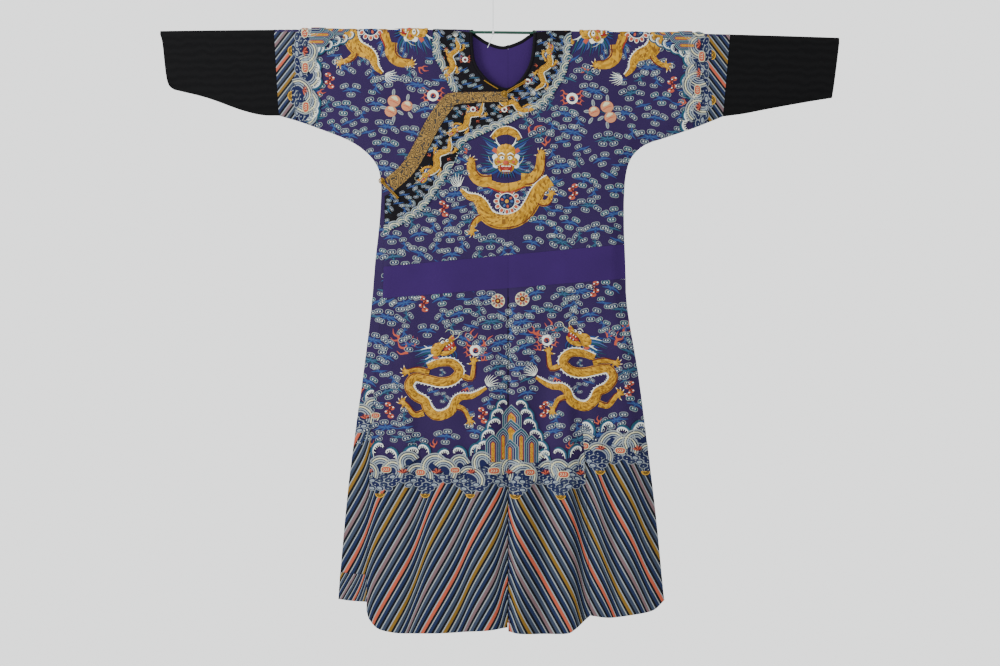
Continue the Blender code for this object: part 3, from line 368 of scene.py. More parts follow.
def rod_z(x):
    return ROD_MIDDLE_Z - ROD_TILT * x - ROD_BOW * x * x


def down_at(x, z):
    """Length of cloth from the crest down to height z."""
    return rod_z(x) - z + QUARTER_TURN


def ease(t):
    t = np.clip(t, 0.0, 1.0)
    return t * t * (3 - 2 * t)


def smooth_curve(rows, per_span=3, closed=False):
    """Points on a Catmull-Rom curve through the rows."""
    rows = np.array(rows, float)
    if closed:
        padded = np.vstack([rows[-1:], rows, rows[:2]])
    else:
        padded = np.vstack([2 * rows[0] - rows[1], rows, 2 * rows[-1] - rows[-2]])
    a, b, c, d = padded[:-3, None], padded[1:-2, None], padded[2:-1, None], padded[3:, None]
    t = (np.arange(per_span) / per_span)[None, :, None]
    curve = 0.5 * (2 * b + (c - a) * t + (2 * a - 5 * b + 4 * c - d) * t**2 + (3 * b - a - 3 * c + d) * t**3)
    curve = curve.reshape(-1, rows.shape[1])
    return curve if closed else np.vstack([curve, rows[-1:]])


def normalised(vectors):
    """The vectors at length one."""
    return vectors / np.maximum(np.linalg.norm(vectors, axis=-1, keepdims=True), 1e-9)


def left_of(tangent):
    """Directions on the cut plane, each turned a quarter to the left."""
    return np.stack([-tangent[..., 1], tangent[..., 0]], -1)


def turned_by(x, y, turn):
    """Points of the plane turned about the origin."""
    c, s = math.cos(turn), math.sin(turn)
    return np.stack([x * c - y * s, x * s + y * c], 1)


def heading(turn):
    return np.array((math.cos(turn), math.sin(turn)))


def lengths_along(path):
    """The length of a line up to each of its points."""
    return np.concatenate([[0], np.cumsum(np.linalg.norm(np.diff(path, axis=0), axis=1))])


def closed_up(outline):
    return np.vstack([outline, outline[:1]])


def distance_to_line(points, line):
    """Distance from each point to the nearest stretch of a line."""
    nearest = np.full(len(points), np.inf)
    for start, end in zip(line[:-1], line[1:]):
        along = end - start
        share = np.clip((points - start) @ along / max(along @ along, 1e-12), 0, 1)
        nearest = np.minimum(nearest, np.linalg.norm(points - start - share[:, None] * along, axis=1))
    return nearest


def nearest_on(points, ring):
    """The closest place on a closed outline to each point."""
    along = np.roll(ring, -1, axis=0) - ring
    share = ((points[:, None] - ring) * along).sum(-1) / np.maximum((along**2).sum(-1), 1e-12)
    places = ring + np.clip(share, 0, 1)[..., None] * along
    best = ((points[:, None] - places) ** 2).sum(-1).argmin(1)
    return places[np.arange(len(points)), best]


def inside(points, outline):
    """Which points lie in a closed outline, by counting crossings."""
    crossings = np.zeros(len(points), int)
    x, y = points[:, 0], points[:, 1]
    for a, b in zip(outline, np.roll(outline, -1, axis=0)):
        if a[1] != b[1]:
            spans = (a[1] > y) != (b[1] > y)
            crossings += spans & (x < a[0] + (y - a[1]) * (b[0] - a[0]) / (b[1] - a[1]))
    return crossings % 2 == 1


SIDES = {
    side: np.vstack([smooth_curve(SLEEVE_LOW[side], 2)[:-1], smooth_curve(UNDERARM[side], 2)]) for side in UNDERARM
}


class SideField:
    """Distances to the nearer closed side seam, on an even grid."""

    step = 0.004
    low = np.array((-0.84, -1.6))
    high = np.array((0.88, -0.08))

    def __init__(self):
        axes = [np.arange(self.low[i], self.high[i] + self.step, self.step) for i in (0, 1)]
        grid = np.stack(np.meshgrid(*axes, indexing="ij"), -1)
        flat = grid.reshape(-1, 2)
        near = np.minimum(*(distance_to_line(flat, side) for side in SIDES.values()))
        self.values = near.reshape(grid.shape[:2])

    def at(self, x, z):
        place = (np.stack([x, z], -1) - self.low) / self.step
        place = np.clip(place, 0, np.array(self.values.shape) - 1.001)
        cell = place.astype(int)
        i, j = cell[..., 0], cell[..., 1]
        u, v = place[..., 0] - i, place[..., 1] - j
        low = self.values[i, j] * (1 - u) + self.values[i + 1, j] * u
        high = self.values[i, j + 1] * (1 - u) + self.values[i + 1, j + 1] * u
        return low * (1 - v) + high * v


SIDE_FIELD = SideField()


def rolled_in(depth, x, z):
    """The depth of a layer, drawn in to the seam where front and back are sewn together."""
    share = np.minimum(SIDE_FIELD.at(x, z) / SIDE_ROLL, 1.0)
    return SIDE_GAP + (depth - SIDE_GAP) * share


def swell(amount, x, z):
    """How far a layer stands off below the crest."""
    reach = np.abs(x - CENTRE_X / 2)
    torso = 1 - ease((reach - TORSO_HALF_WIDTH) / (SLEEVE_START - TORSO_HALF_WIDTH))
    full = SLEEVE_SWELL + (amount - SLEEVE_SWELL) * torso
    return full * (1 - np.exp(-np.maximum(rod_z(x) - z, 0.0) / SWELL_LENGTH))


def skirt_share(z):
    return ease((FOLD_START_Z - z) / (FOLD_START_Z - FOLD_FULL_Z))


def fold_height(folds, x, z):
    """Sum of the soft folds at each point."""
    along = (FOLD_START_Z - z) / (FOLD_START_Z - HEM_Z)
    height = np.zeros_like(x)
    for fold in folds:
        offset = x - (fold["x_waist"] + (fold["x_hem"] - fold["x_waist"]) * along)
        reach = np.minimum(np.abs(offset) / np.where(offset < 0, fold["left"], fold["right"]), 1.0)
        height += fold["rise"] * 0.5 * (1 + np.cos(math.pi * reach))
    return height * skirt_share(z)


def inner_depth(x, z):
    return -rolled_in(CREST_RADIUS + swell(INNER_SWELL, x, z), x, z)


def overlap_depth(x, z):
    return inner_depth(x, z) - LAYER_STEP - SKIRT_SWELL * skirt_share(z) - fold_height(FRONT_FOLDS, x, z)


def left_front_depth(x, z):
    full = CREST_RADIUS + swell(INNER_SWELL + LAYER_STEP, x, z)
    return -rolled_in(full + SKIRT_SWELL * skirt_share(z) + fold_height(FRONT_FOLDS, x, z), x, z)


def back_depth(x, z):
    full = CREST_RADIUS + swell(BACK_SWELL, x, z)
    return rolled_in(full + SKIRT_SWELL * skirt_share(z) + fold_height(BACK_FOLDS, x, z), x, z)


def middle(front_depth, x, s):
    """Points of a layer's middle surface over the cut plane."""
    axis, down = rod_z(x), np.abs(s)
    z = axis - (down - QUARTER_TURN)
    angle = np.minimum(down, QUARTER_TURN) / CREST_RADIUS
    over = down < QUARTER_TURN
    turned = np.where(s < 0, 1.0, -1.0) * CREST_RADIUS * np.sin(angle)
    y = np.where(over, turned, np.where(s < 0, back_depth(x, z), front_depth(x, z)))
    return np.stack([x, y, np.where(over, axis + CREST_RADIUS * np.cos(angle), z)], -1)


def on_cloth(front_depth, x, s, lift):
    """Points over the cut plane, moved out from the layer's middle surface by lift."""
    reach = 0.0012
    across = middle(front_depth, x + reach, s) - middle(front_depth, x - reach, s)
    down = middle(front_depth, x, s + reach) - middle(front_depth, x, s - reach)
    normal = normalised(-np.cross(across, down))
    return middle(front_depth, x, s) + normal * np.broadcast_to(lift, x.shape)[:, None]


def on_cloth_path(depth, rows, lift):
    rows = np.array(rows, float)
    return on_cloth(depth, rows[:, 0], down_at(rows[:, 0], rows[:, 1]), lift)


# Shader sums, written as plain Python


class Value:
    """A shader number that takes part in sums."""

    def __init__(self, tree, socket):
        self.tree, self.socket = tree, socket

    def maths(self, operation, *others):
        node = self.tree.nodes.new("ShaderNodeMath")
        node.operation = operation
        for place, other in enumerate(others):
            if isinstance(other, Value):
                self.tree.links.new(other.socket, node.inputs[place])
            else:
                node.inputs[place].default_value = other
        return Value(self.tree, node.outputs[0])

    def __add__(self, other):
        return self.maths("ADD", self, other)

    def __radd__(self, other):
        return self.maths("ADD", other, self)

    def __sub__(self, other):
        return self.maths("SUBTRACT", self, other)

    def __rsub__(self, other):
        return self.maths("SUBTRACT", other, self)

    def __mul__(self, other):
        return self.maths("MULTIPLY", self, other)

    def __rmul__(self, other):
        return self.maths("MULTIPLY", other, self)

    def sine(self):
        return self.maths("SINE", self)

    def size(self):
        return self.maths("ABSOLUTE", self)

    def at_most(self, other):
        return self.maths("MINIMUM", self, other)

    def at_least(self, other):
        return self.maths("MAXIMUM", self, other)


class Finish:
    """One procedural material, built node by node."""

    def __init__(self, name, roughness, metallic=0.0, specular=0.25):
        self.material = bpy.data.materials.new(name)
        self.material.use_nodes = True
        self.tree = self.material.node_tree
        self.shader = self.tree.nodes["Principled BSDF"]
        self.shader.inputs["Roughness"].default_value = roughness
        self.shader.inputs["Metallic"].default_value = metallic
        self.shader.inputs["Specular IOR Level"].default_value = specular

    def node(self, kind, settings=None, **inputs):
        """A node of a kind, its settings, then the values or links of its sockets."""
        node = self.tree.nodes.new(kind)
        for name, value in (settings or {}).items():
            setattr(node, name, value)
        for name, value in inputs.items():
            socket = node.inputs[int(name[1:])] if name[1:].isdigit() else node.inputs[name]
            self.set(socket, value)
        return node

    def set(self, socket, value):
        if isinstance(value, Value):
            self.tree.links.new(value.socket, socket)
        elif isinstance(value, bpy.types.NodeSocket):
            self.tree.links.new(value, socket)
        else:
            socket.default_value = value

    def coordinates(self):
        """The cut plane's two lengths in metres, from the UV map."""
        uv = self.node("ShaderNodeTexCoord").outputs["UV"]
        parts = self.node("ShaderNodeSeparateXYZ", Vector=uv)
        return Value(self.tree, parts.outputs[0]), Value(self.tree, parts.outputs[1])

    def noise(self, scale, detail=2.0):
        vector = self.node("ShaderNodeTexCoord").outputs["Object"]
        node = self.node("ShaderNodeTexNoise", Vector=vector, Scale=scale, Detail=detail)
        return Value(self.tree, node.outputs[0])

    def mix(self, share, first, second):
        """Two colours mixed by a share."""
        colours = {"i6": (*first, 1.0), "i7": (*second, 1.0)}
        return self.node("ShaderNodeMix", {"data_type": "RGBA"}, i0=share, **colours).outputs[2]

    def colour(self, value):
        self.set(self.shader.inputs["Base Color"], (*value, 1.0) if isinstance(value, tuple) else value)

    def roughness(self, value):
        self.set(self.shader.inputs["Roughness"], value)

    def bump(self, height, distance, strength):
        node = self.node("ShaderNodeBump", Height=height, Distance=distance, Strength=strength)
        self.set(self.shader.inputs["Normal"], node.outputs[0])


def silk(name, colour, dark, ribs=0.0006):
    """Woven silk: a fine twill and soft mottling."""
    finish = Finish(name, 0.62, specular=0.06)
    across, along = finish.coordinates()
    twill = ((across * (math.tau / ribs)) + (along * (math.tau / ribs))).sine()
    weave = (across * (math.tau / WEAVE_PITCH)).sine() * (along * (math.tau / WEAVE_PITCH)).sine()
    mottle = finish.noise(9.0, 4.0) * 1.6 - 0.3
    fleck = finish.noise(900.0, 1.0) * 0.5
    finish.colour(finish.mix((mottle + fleck * 0.5).at_most(1.0).at_least(0.0), dark, colour))
    finish.roughness(0.58 + finish.noise(160.0) * 0.14)
    finish.bump(twill * 0.5 + weave * 0.5 + fleck, 0.00012, 0.7)
    return finish.material


def ribbed_black():
    """Black corded silk, its ribs running down the sleeve."""
    finish = Finish("black_cloth", 0.72, specular=0.04)
    _, along = finish.coordinates()
    rib = (along * (math.tau / RIB_PITCH)).sine()
    wander = finish.noise(30.0, 3.0)
    moire = ((along * (math.tau / MOIRE_PITCH)) + wander * 9.0).sine() * 0.5 + 0.5
    finish.colour(finish.mix(moire * 0.6, linear((7, 7, 8)), linear((12, 12, 13))))
    finish.roughness(0.66 + finish.noise(240.0) * 0.16)
    finish.bump(rib + finish.noise(1500.0) * 0.6, 0.00016, 0.8)
    return finish.material


def thread_finish(name, colour, roughness, metal):
    """Floss or couched thread: fine lines across the stitch, with an uneven lustre."""
    finish = Finish(f"thread_{name}", roughness, metal, specular=0.12 if metal else 0.08)
    finish.colour(linear(colour))
    along, _ = finish.coordinates()
    ply = (along * (math.tau / STITCH_PITCH)).sine()
    finish.roughness(roughness - 0.06 + finish.noise(400.0) * 0.14)
    finish.bump(ply + finish.noise(2500.0) * 0.5, 0.0001, 0.5)
    return finish.material


def threads():
    for name, colour in THREADS.items():
        if f"thread_{name}" not in bpy.data.materials:
            metal = GOLD_METAL if "gold" in name else 0.0
            thread_finish(name, colour, ROUGHNESS.get(name, THREAD_ROUGHNESS), metal)
    return [bpy.data.materials[f"thread_{name}"] for name in THREAD_NAMES]


# Meshes


def make_object(name, points, faces, materials, indices, uvs, slot, sharp=40.0):
    """A mesh of triangles, smooth but for its sharp edges, riding on its body."""
    mesh = bpy.data.meshes.new(name)
    mesh.vertices.add(len(points))
    mesh.vertices.foreach_set("co", np.ascontiguousarray(points, np.float32).ravel())
    mesh.loops.add(len(faces) * 3)
    mesh.loops.foreach_set("vertex_index", np.ascontiguousarray(faces, np.int32).ravel())
    mesh.polygons.add(len(faces))
    mesh.polygons.foreach_set("loop_start", np.arange(0, len(faces) * 3, 3, dtype=np.int32))
    if indices is not None:
        mesh.polygons.foreach_set("material_index", np.ascontiguousarray(indices, np.int32))
    for material in materials:
        mesh.materials.append(material)
    layer = mesh.uv_layers.new(name="UVMap")
    layer.data.foreach_set("uv", np.ascontiguousarray(uvs[faces.ravel()], np.float32).ravel())
    mesh.update()
    mesh.validate()
    mesh.shade_smooth()
    if sharp:
        mesh.set_sharp_from_angle(angle=math.radians(sharp))
    obj = bpy.data.objects.new(name, mesh)
    bpy.context.scene.collection.objects.link(obj)
    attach(obj, "root")
    return obj


def ordered_edge(faces):
    """The directed edges that only one triangle has."""
    edges = np.concatenate([faces[:, [0, 1]], faces[:, [1, 2]], faces[:, [2, 0]]])
    keys = {tuple(edge) for edge in edges.tolist()}
    return np.array([edge for edge in keys if (edge[1], edge[0]) not in keys])


def polygon_area(outline):
    after = np.roll(outline, -1, axis=0)
    return float((outline[:, 0] * after[:, 1] - after[:, 0] * outline[:, 1]).sum()) / 2


def inset(outline, distance):
    """The outline moved in by a distance."""
    before, after = np.roll(outline, 1, axis=0), np.roll(outline, -1, axis=0)
    turn = math.copysign(1.0, polygon_area(outline))
    normal = left_of(normalised(outline - before) + normalised(after - outline)) * turn
    length = np.linalg.norm(normal, axis=1)[:, None]
    return outline + normal / np.maximum(length, 1e-9) * distance * np.minimum(2 / np.maximum(length, 1.0), 2.0)


def without_repeats(outline):
    kept = [outline[0]]
    for point in outline[1:]:
        if np.linalg.norm(point - kept[-1]) > LEAST_STEP:
            kept.append(point)
    if np.linalg.norm(kept[0] - kept[-1]) < LEAST_STEP:
        kept.pop()
    return np.array(kept)


def densified(outline, step):
    """The outline with a point at least every step."""
    dense = []
    for a, b in zip(outline, np.roll(outline, -1, axis=0)):
        count = max(1, math.ceil(np.linalg.norm(b - a) / step))
        dense += [a + (b - a) * i / count for i in range(count)]
    return np.array(dense)


def triangles_in(points, edges, ring_count):
    """Triangles inside the first points' ring that keep to the edges, all turned the same way."""
    flat, _, faces, *_ = delaunay_2d_cdt(points, edges, [list(range(ring_count))], 1, 1e-7)
    flat, faces = np.array([tuple(p) for p in flat]), np.array([face for face in faces if len(face) == 3])
    corners = flat[faces]
    turns = np.cross(corners[:, 1] - corners[:, 0], corners[:, 2] - corners[:, 0])
    faces[turns > 0] = faces[turns > 0][:, ::-1]
    return flat, faces


CREST_ROWS = np.array([-1, -0.75, -0.5, -0.25, 0, 0.25, 0.5, 0.75, 1]) * QUARTER_TURN


def cloth(
    name, outline, front_depth, finish, lining, slot, replaces, above, step=(0.008, 0.009), lift=0.0, thickness=CLOTH
):
    """One cut piece of cloth over the cut plane: its outer face, its lining and its cut edge."""
    ring = without_repeats(inset(without_repeats(np.array(outline)), SEAM / 2))
    ring = densified(ring, RING_STEP)
    low, high = ring.min(0), ring.max(0)
    columns = np.arange(low[0] + step[0] / 2, high[0], step[0])
    rows = np.arange(low[1] + step[1] / 2, high[1], step[1])
    rows = np.concatenate([rows[np.abs(rows) > QUARTER_TURN * 1.3], CREST_ROWS])
    rows = rows[(rows > low[1]) & (rows < high[1])]
    grid = np.stack(np.meshgrid(columns, rows), -1).reshape(-1, 2)
    grid = grid[inside(grid, ring)]
    grid = grid[distance_to_line(grid, closed_up(ring)) > min(step) * 0.45]
    flat, faces = triangles_in(np.vstack([ring, grid]).tolist(), [], len(ring))
    count = len(flat)
    outer = on_cloth(front_depth, flat[:, 0], flat[:, 1], lift + thickness / 2)
    inner = on_cloth(front_depth, flat[:, 0], flat[:, 1], lift - thickness / 2)
    edge = ordered_edge(faces)
    rim = np.concatenate(
        [
            np.stack([edge[:, 1], edge[:, 0], edge[:, 0] + count], 1),
            np.stack([edge[:, 1], edge[:, 0] + count, edge[:, 1] + count], 1),
        ]
    )
    every = np.concatenate([faces, faces[:, ::-1] + count, rim])
    indices = np.repeat([0, 1, 0], [len(faces), len(faces), len(rim)])
    uvs = np.vstack([flat, flat])
    obj = make_object(name, np.vstack([outer, inner]), every, [finish, lining], indices, uvs, slot)
    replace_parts(obj, *replaces)
    area = abs(polygon_area(ring))
    flat_size = (float(high[0] - low[0]), float(high[1] - low[1]))
    if area < 0.35 * flat_size[0] * flat_size[1]:
        length = float(np.linalg.norm(ring - np.roll(ring, 1, axis=0), axis=1).sum()) / 2
        flat_size = (1.01 * area / length, length)
    return obj


# The embroidery kit


class Stitching:
    """Stitched shapes, as points (x, y, lift), triangles, their threads and thread directions."""

    def __init__(self, unit=0.001):
        self.unit = unit
        self.points, self.faces, self.thread, self.uvs = [], [], [], []
        self.count = 0

    def add(self, points, faces, thread, uvs):
        self.points.append(points)
        self.faces.append(faces + self.count)
        self.thread.append(np.broadcast_to(thread, len(faces)))
        self.uvs.append(uvs)
        self.count += len(points)

    def arrays(self):
        return np.vstack(self.points), np.vstack(self.faces), np.concatenate(self.thread), np.vstack(self.uvs)

    def ribbon(self, path, width, thread, level=0, crown=CROWN, smooth=3, across=3, offset=0.0):
        """A stitched line along a path, its width given once or as a taper."""
        run = (smooth_curve(path, smooth) if smooth > 1 else np.array(path, float)) * self.unit
        places = np.linspace(0, 1, len(run))
        taper = np.atleast_1d(width).astype(float)
        half = np.interp(places, np.linspace(0, 1, len(taper)), taper) * self.unit / 2
        side = left_of(normalised(np.gradient(run, axis=0)))
        shares = np.linspace(-1, 1, across)
        shift = np.broadcast_to(offset, len(run)) * self.unit
        flat = run[:, None] + side[:, None] * (half[:, None] * shares + shift[:, None])[..., None]
        base = EDGE_LIFT + LEVEL_STEP * level
        rise = crown * np.sqrt(half / max(half.max(), 1e-9))
        lift = base + rise[:, None] * np.sqrt(1 - shares**2)
        points = np.concatenate([flat, lift[..., None]], -1).reshape(-1, 3)
        uvs = np.stack(np.broadcast_arrays(lengths_along(run)[:, None], half[:, None] * shares), -1).reshape(-1, 2)
        i, j = np.meshgrid(np.arange(len(run) - 1), np.arange(across - 1), indexing="ij")
        a = (i * across + j).ravel()
        upper, lower = np.stack([a, a + across, a + across + 1], 1), np.stack([a, a + across + 1, a + 1], 1)
        faces = np.concatenate([upper, lower])
        self.add(points, faces, THREAD_NAMES.index(thread), uvs)

    def patch(self, outline, thread, level=0, crown=CROWN, smooth=1, rings=(0.55,)):
        """A filled stitched shape, domed towards its middle."""
        ring = np.array(outline, float) * self.unit
        if smooth > 1:
            ring = smooth_curve(ring, smooth, closed=True)
        if polygon_area(ring) < 0:
            ring = ring[::-1]
        centre = ring.mean(0)
        n = len(ring)
        base = EDGE_LIFT + LEVEL_STEP * level
        points, faces = [np.column_stack([ring, np.full(n, base)])], []
        here = np.arange(n)
        after = (here + 1) % n
        for k, share in enumerate(rings):
            moved = centre + (ring - centre) * share
            points.append(np.column_stack([moved, np.full(n, base + crown * math.sqrt(1 - share**2))]))
            a, b = here + k * n, after + k * n
            faces += [np.stack([a, b, b + n], 1), np.stack([a, b + n, a + n], 1)]
        last = len(rings) * n
        points.append(np.array([[*centre, base + crown]]))
        faces.append(np.stack([here + last, after + last, np.full(n, last + n)], 1))
        points = np.vstack(points)
        self.add(points, np.vstack(faces), THREAD_NAMES.index(thread), points[:, :2] - centre)

    def oval(self, x, y, width, height, thread, level=0, turn=0.0, sides=12, crown=CROWN, square=1.0):
        """An oval patch. A square below 1 gives it flatter sides."""
        angles = np.arange(sides) * math.tau / sides
        c, s = np.cos(angles), np.sin(angles)
        px = np.sign(c) * np.abs(c) ** square * width / 2
        py = np.sign(s) * np.abs(s) ** square * height / 2
        turned = turned_by(px, py, turn)
        rings = (0.55,) if sides > 8 else ()
        self.patch(turned + (x, y), thread, level, crown, rings=rings)

    def place(self, motif, x, y, size=1.0, turn=0.0, mirror=False, height=1.0):
        """A copy of a motif at a place given in the drawing's own unit."""
        self.stamp(motif, x * self.unit, y * self.unit, size, turn, mirror, height=height)

    def stamp(self, motif, x, y, size=1.0, turn=0.0, mirror=False, up=1.0, height=1.0):
        """A copy of a motif in this work. up is -1 where y is a length of cloth that runs down."""
        points, faces, thread, uvs = motif.arrays()
        px = points[:, 0] * (-1 if mirror else 1) * size
        py = points[:, 1] * size
        flat = (x, y) + turned_by(px, py, turn) * (1.0, up)
        moved = np.column_stack([flat, points[:, 2] * height])
        self.add(moved, faces[:, ::-1] if mirror != (up < 0) else faces, thread, uvs * size)


def sew(name, work, front_depth, outline, margin=0.0, lift=0.0, thickness=CLOTH, slot="gold_cord", keep=None):
    """Lays stitched shapes on a cut piece, leaving out what falls beyond its edge."""
    points, faces, thread, uvs = work.arrays()
    centres = points[faces].mean(1)[:, :2]
    ring = inset(without_repeats(np.array(outline)), margin) if margin else np.array(outline)
    within = inside(points[:, :2], ring)
    fits = within[faces].any(1)
    if keep is not None:
        fits &= keep(centres)
    faces, thread = faces[fits], thread[fits]
    used, index = np.unique(faces, return_inverse=True)
    faces = index.reshape(-1, 3)[:, ::-1]
    points, uvs, beyond = points[used], uvs[used], ~within[used]
    if beyond.any():
        points[beyond, :2] = nearest_on(points[beyond, :2], ring)
    shade = np.random.default_rng(len(thread)).random(len(thread))
    gold = thread == THREAD_NAMES.index("gold")
    thread = np.where(gold & (shade < DARK_GOLD_SHARE), THREAD_NAMES.index("dark_gold"), thread)
    thread = np.where(gold & (shade > LIGHT_GOLD_FROM), THREAD_NAMES.index("light_gold"), thread)
    placed = on_cloth(front_depth, points[:, 0], points[:, 1], lift + thickness / 2 + points[:, 2])
    present = np.unique(thread)
    indices = np.searchsorted(present, thread)
    palette = threads()
    return make_object(name, placed, faces, [palette[i] for i in present], indices, uvs, slot, sharp=None)


# Outlines on the cut plane


def laid(rows, back=False):
    """Points (x, z) seen from the front as points on the cut plane."""
    rows = np.array(rows, float)
    down = down_at(rows[:, 0], rows[:, 1])
    return np.column_stack([rows[:, 0], -down if back else down])


def line(start, end, step=0.02):
    start, end = np.array(start, float), np.array(end, float)
    count = max(1, math.ceil(np.linalg.norm(end - start) / step))
    return start + (end - start) * np.linspace(0, 1, count + 1)[:, None]


def neck_ring(set_back):
    """The neck's edge, from the left shoulder over the back and round the front, moved out by set_back."""
    left, right = NECK_SHOULDERS[1], NECK_SHOULDERS[0]
    ring = np.vstack(
        [
            [(left, 0.0)],
            laid(NECK_BACK[::-1], back=True),
            [(right, 0.0)],
            laid(NECK_FRONT),
            laid(NECK_FRONT_LEFT)[1:],
        ]
    )
    ring = smooth_curve(ring, 5, closed=True)
    turn = math.copysign(1.0, polygon_area(ring))
    tangent = normalised(np.roll(ring, -1, axis=0) - np.roll(ring, 1, axis=0))
    return ring - left_of(tangent) * turn * set_back


def neck_arc(side, set_back):
    """The neck's edge on one side of the centre line, from the centre front to the centre back."""
    ring = neck_ring(set_back)
    beyond = ring[:, 0] > CENTRE_X if side == "left" else ring[:, 0] < CENTRE_X
    start = next(i for i in range(len(ring)) if beyond[i] and not beyond[i - 1])
    ring = np.roll(ring, -start, axis=0)
    arc = ring[: beyond.sum()]
    if arc[0, 1] < arc[-1, 1]:
        arc = arc[::-1]
    ends = [(CENTRE_X, arc[0, 1]), (CENTRE_X, arc[-1, 1])]
    return np.vstack([ends[:1], arc, ends[1:]])


def waist_z(band, x):
    return band["z"] + band["slope"] * (x - CENTRE_X)


def side_x(side, z):
    rows = SIDES[side]
    rows = rows[rows[:, 1] < -0.44]
    return float(np.interp(-z, -rows[:, 1], rows[:, 0]))


def waist_edge(band, side):
    """The waist seam's end at a closed side."""
    x = side_x(side, band["z"])
    return (x, waist_z(band, x))


def side_rows(side, top, bottom):
    rows = smooth_curve(UNDERARM[side], 3)
    return rows[(rows[:, 1] < top) & (rows[:, 1] > bottom)]


def half_outline(side):
    """One half of the upper robe, cut in one over the shoulder. The right half's front runs on to its hem."""
    neck = neck_arc(side, BINDING_WIDTH)
    end = waist_edge(WAIST_TOP, side)
    waist = line(end, (CENTRE_X, WAIST_TOP["z"]))
    run = side_rows(side, 0.0, end[1] + 0.004)
    back = np.vstack([laid(waist[::-1], back=True), laid(run[::-1], back=True)])
    seam_top = (SLEEVE_SEAM_TOP[side], 0.0)
    seam = np.vstack([line(back[-1], seam_top)[1:-1], line(seam_top, laid(run[:1])[0])[:-1]])
    if side == "left":
        front = np.vstack([laid(run), laid(waist)])
    else:
        long_run = side_rows(side, 0.0, INNER_HEM[0][1] + 0.003)
        front = np.vstack([laid(long_run), laid(smooth_curve(INNER_HEM, 6)), laid(smooth_curve(INNER_EDGE, 12))[1:]])
    return np.vstack([neck, back, seam, front])


def sleeve_outline(side):
    """A lower sleeve, cut in one over the crest."""
    cuff = laid(smooth_curve(CUFF[side], 4))
    low = laid(smooth_curve(SLEEVE_LOW[side], 4))
    front = np.vstack([cuff, low[1:]])
    seam_top = (SLEEVE_SEAM_TOP[side], 0.0)
    seam = np.vstack([line(front[-1], seam_top)[1:], line(seam_top, front[-1] * (1, -1))[1:-1]])
    return np.vstack([[(CUFF[side][0][0], 0.0)], front, seam, (front * (1, -1))[::-1]])


def overlap_edge():
    return smooth_curve([(row["x"], row["z"]) for row in OVERLAP_EDGE], 4)


def border_low_edge():
    """The brocade border's lower edge."""
    edge = overlap_edge()
    shares = np.linspace(0, 1, len(OVERLAP_EDGE))
    widths = np.interp(np.linspace(0, 1, len(edge)), shares, [row["border"] for row in OVERLAP_EDGE])
    low = edge + left_of(normalised(np.gradient(edge, axis=0))) * widths[:, None]
    return low[low[:, 0] > -0.256]


def overlap_outline():
    waist = line((OVERLAP_SIDE[-1][0], waist_z(WAIST_TOP, OVERLAP_SIDE[-1][0])), (CENTRE_X, WAIST_TOP["z"]))
    edge = overlap_edge()
    edge[0, 0] = CENTRE_X
    return laid(np.vstack([edge, smooth_curve(OVERLAP_SIDE, 3)[1:], waist]))


def waist_outline(start, end, low_start, low_end, back=False):
    """A stretch of the waist band between two x at its top and two at its bottom."""
    top = [(x, waist_z(WAIST_TOP, x)) for x in np.linspace(start, end, 24)]
    low = [(x, waist_z(WAIST_BOTTOM, x)) for x in np.linspace(low_end, low_start, 24)]
    return laid(top + low, back)


def skirt_outlines():
    """The five skirt panels, each with its layer and whether it is at the back."""
    left_x, right_x = CENTRE_X + HALF_SLIT, CENTRE_X - HALF_SLIT
    seam = smooth_curve(GORE_SEAM, 12)

    def top(start, end):
        return [(x, waist_z(WAIST_BOTTOM, x)) for x in np.linspace(start, end, 30)]

    free = smooth_curve(SKIRT_FREE_EDGE, 6)
    gore_end = waist_edge(WAIST_BOTTOM, "left")
    panels = {
        "left_front_skirt": (
            np.vstack([top(left_x, seam[0, 0]), seam[1:], smooth_curve(SKIRT_LEFT_HEM, 6)[::-1][1:]]),
            left_front_depth,
            False,
        ),
        "left_front_gore": (
            np.vstack(
                [
                    top(seam[0, 0], gore_end[0]),
                    side_rows("left", gore_end[1] - 0.004, GORE_HEM[-1][1] + 0.002),
                    smooth_curve(GORE_HEM, 6)[::-1],
                    seam[::-1][1:-1],
                ]
            ),
            left_front_depth,
            False,
        ),
        "right_overlap_skirt": (
            np.vstack([top(right_x, free[0, 0]), free[1:], smooth_curve(SKIRT_FREE_HEM, 6)[1:]]),
            overlap_depth,
            False,
        ),
    }
    for side, x in (("left", left_x), ("right", right_x)):
        end = waist_edge(WAIST_BOTTOM, side)
        run = side_rows(side, end[1] - 0.004, BACK_HEM[side][0][1] + 0.002)
        rows = np.vstack([top(x, end[0]), run, smooth_curve(BACK_HEM[side], 6)])
        panels[f"{side}_back_skirt"] = (rows, back_depth, True)
    return {name: (laid(rows, back), depth) for name, (rows, depth, back) in panels.items()}


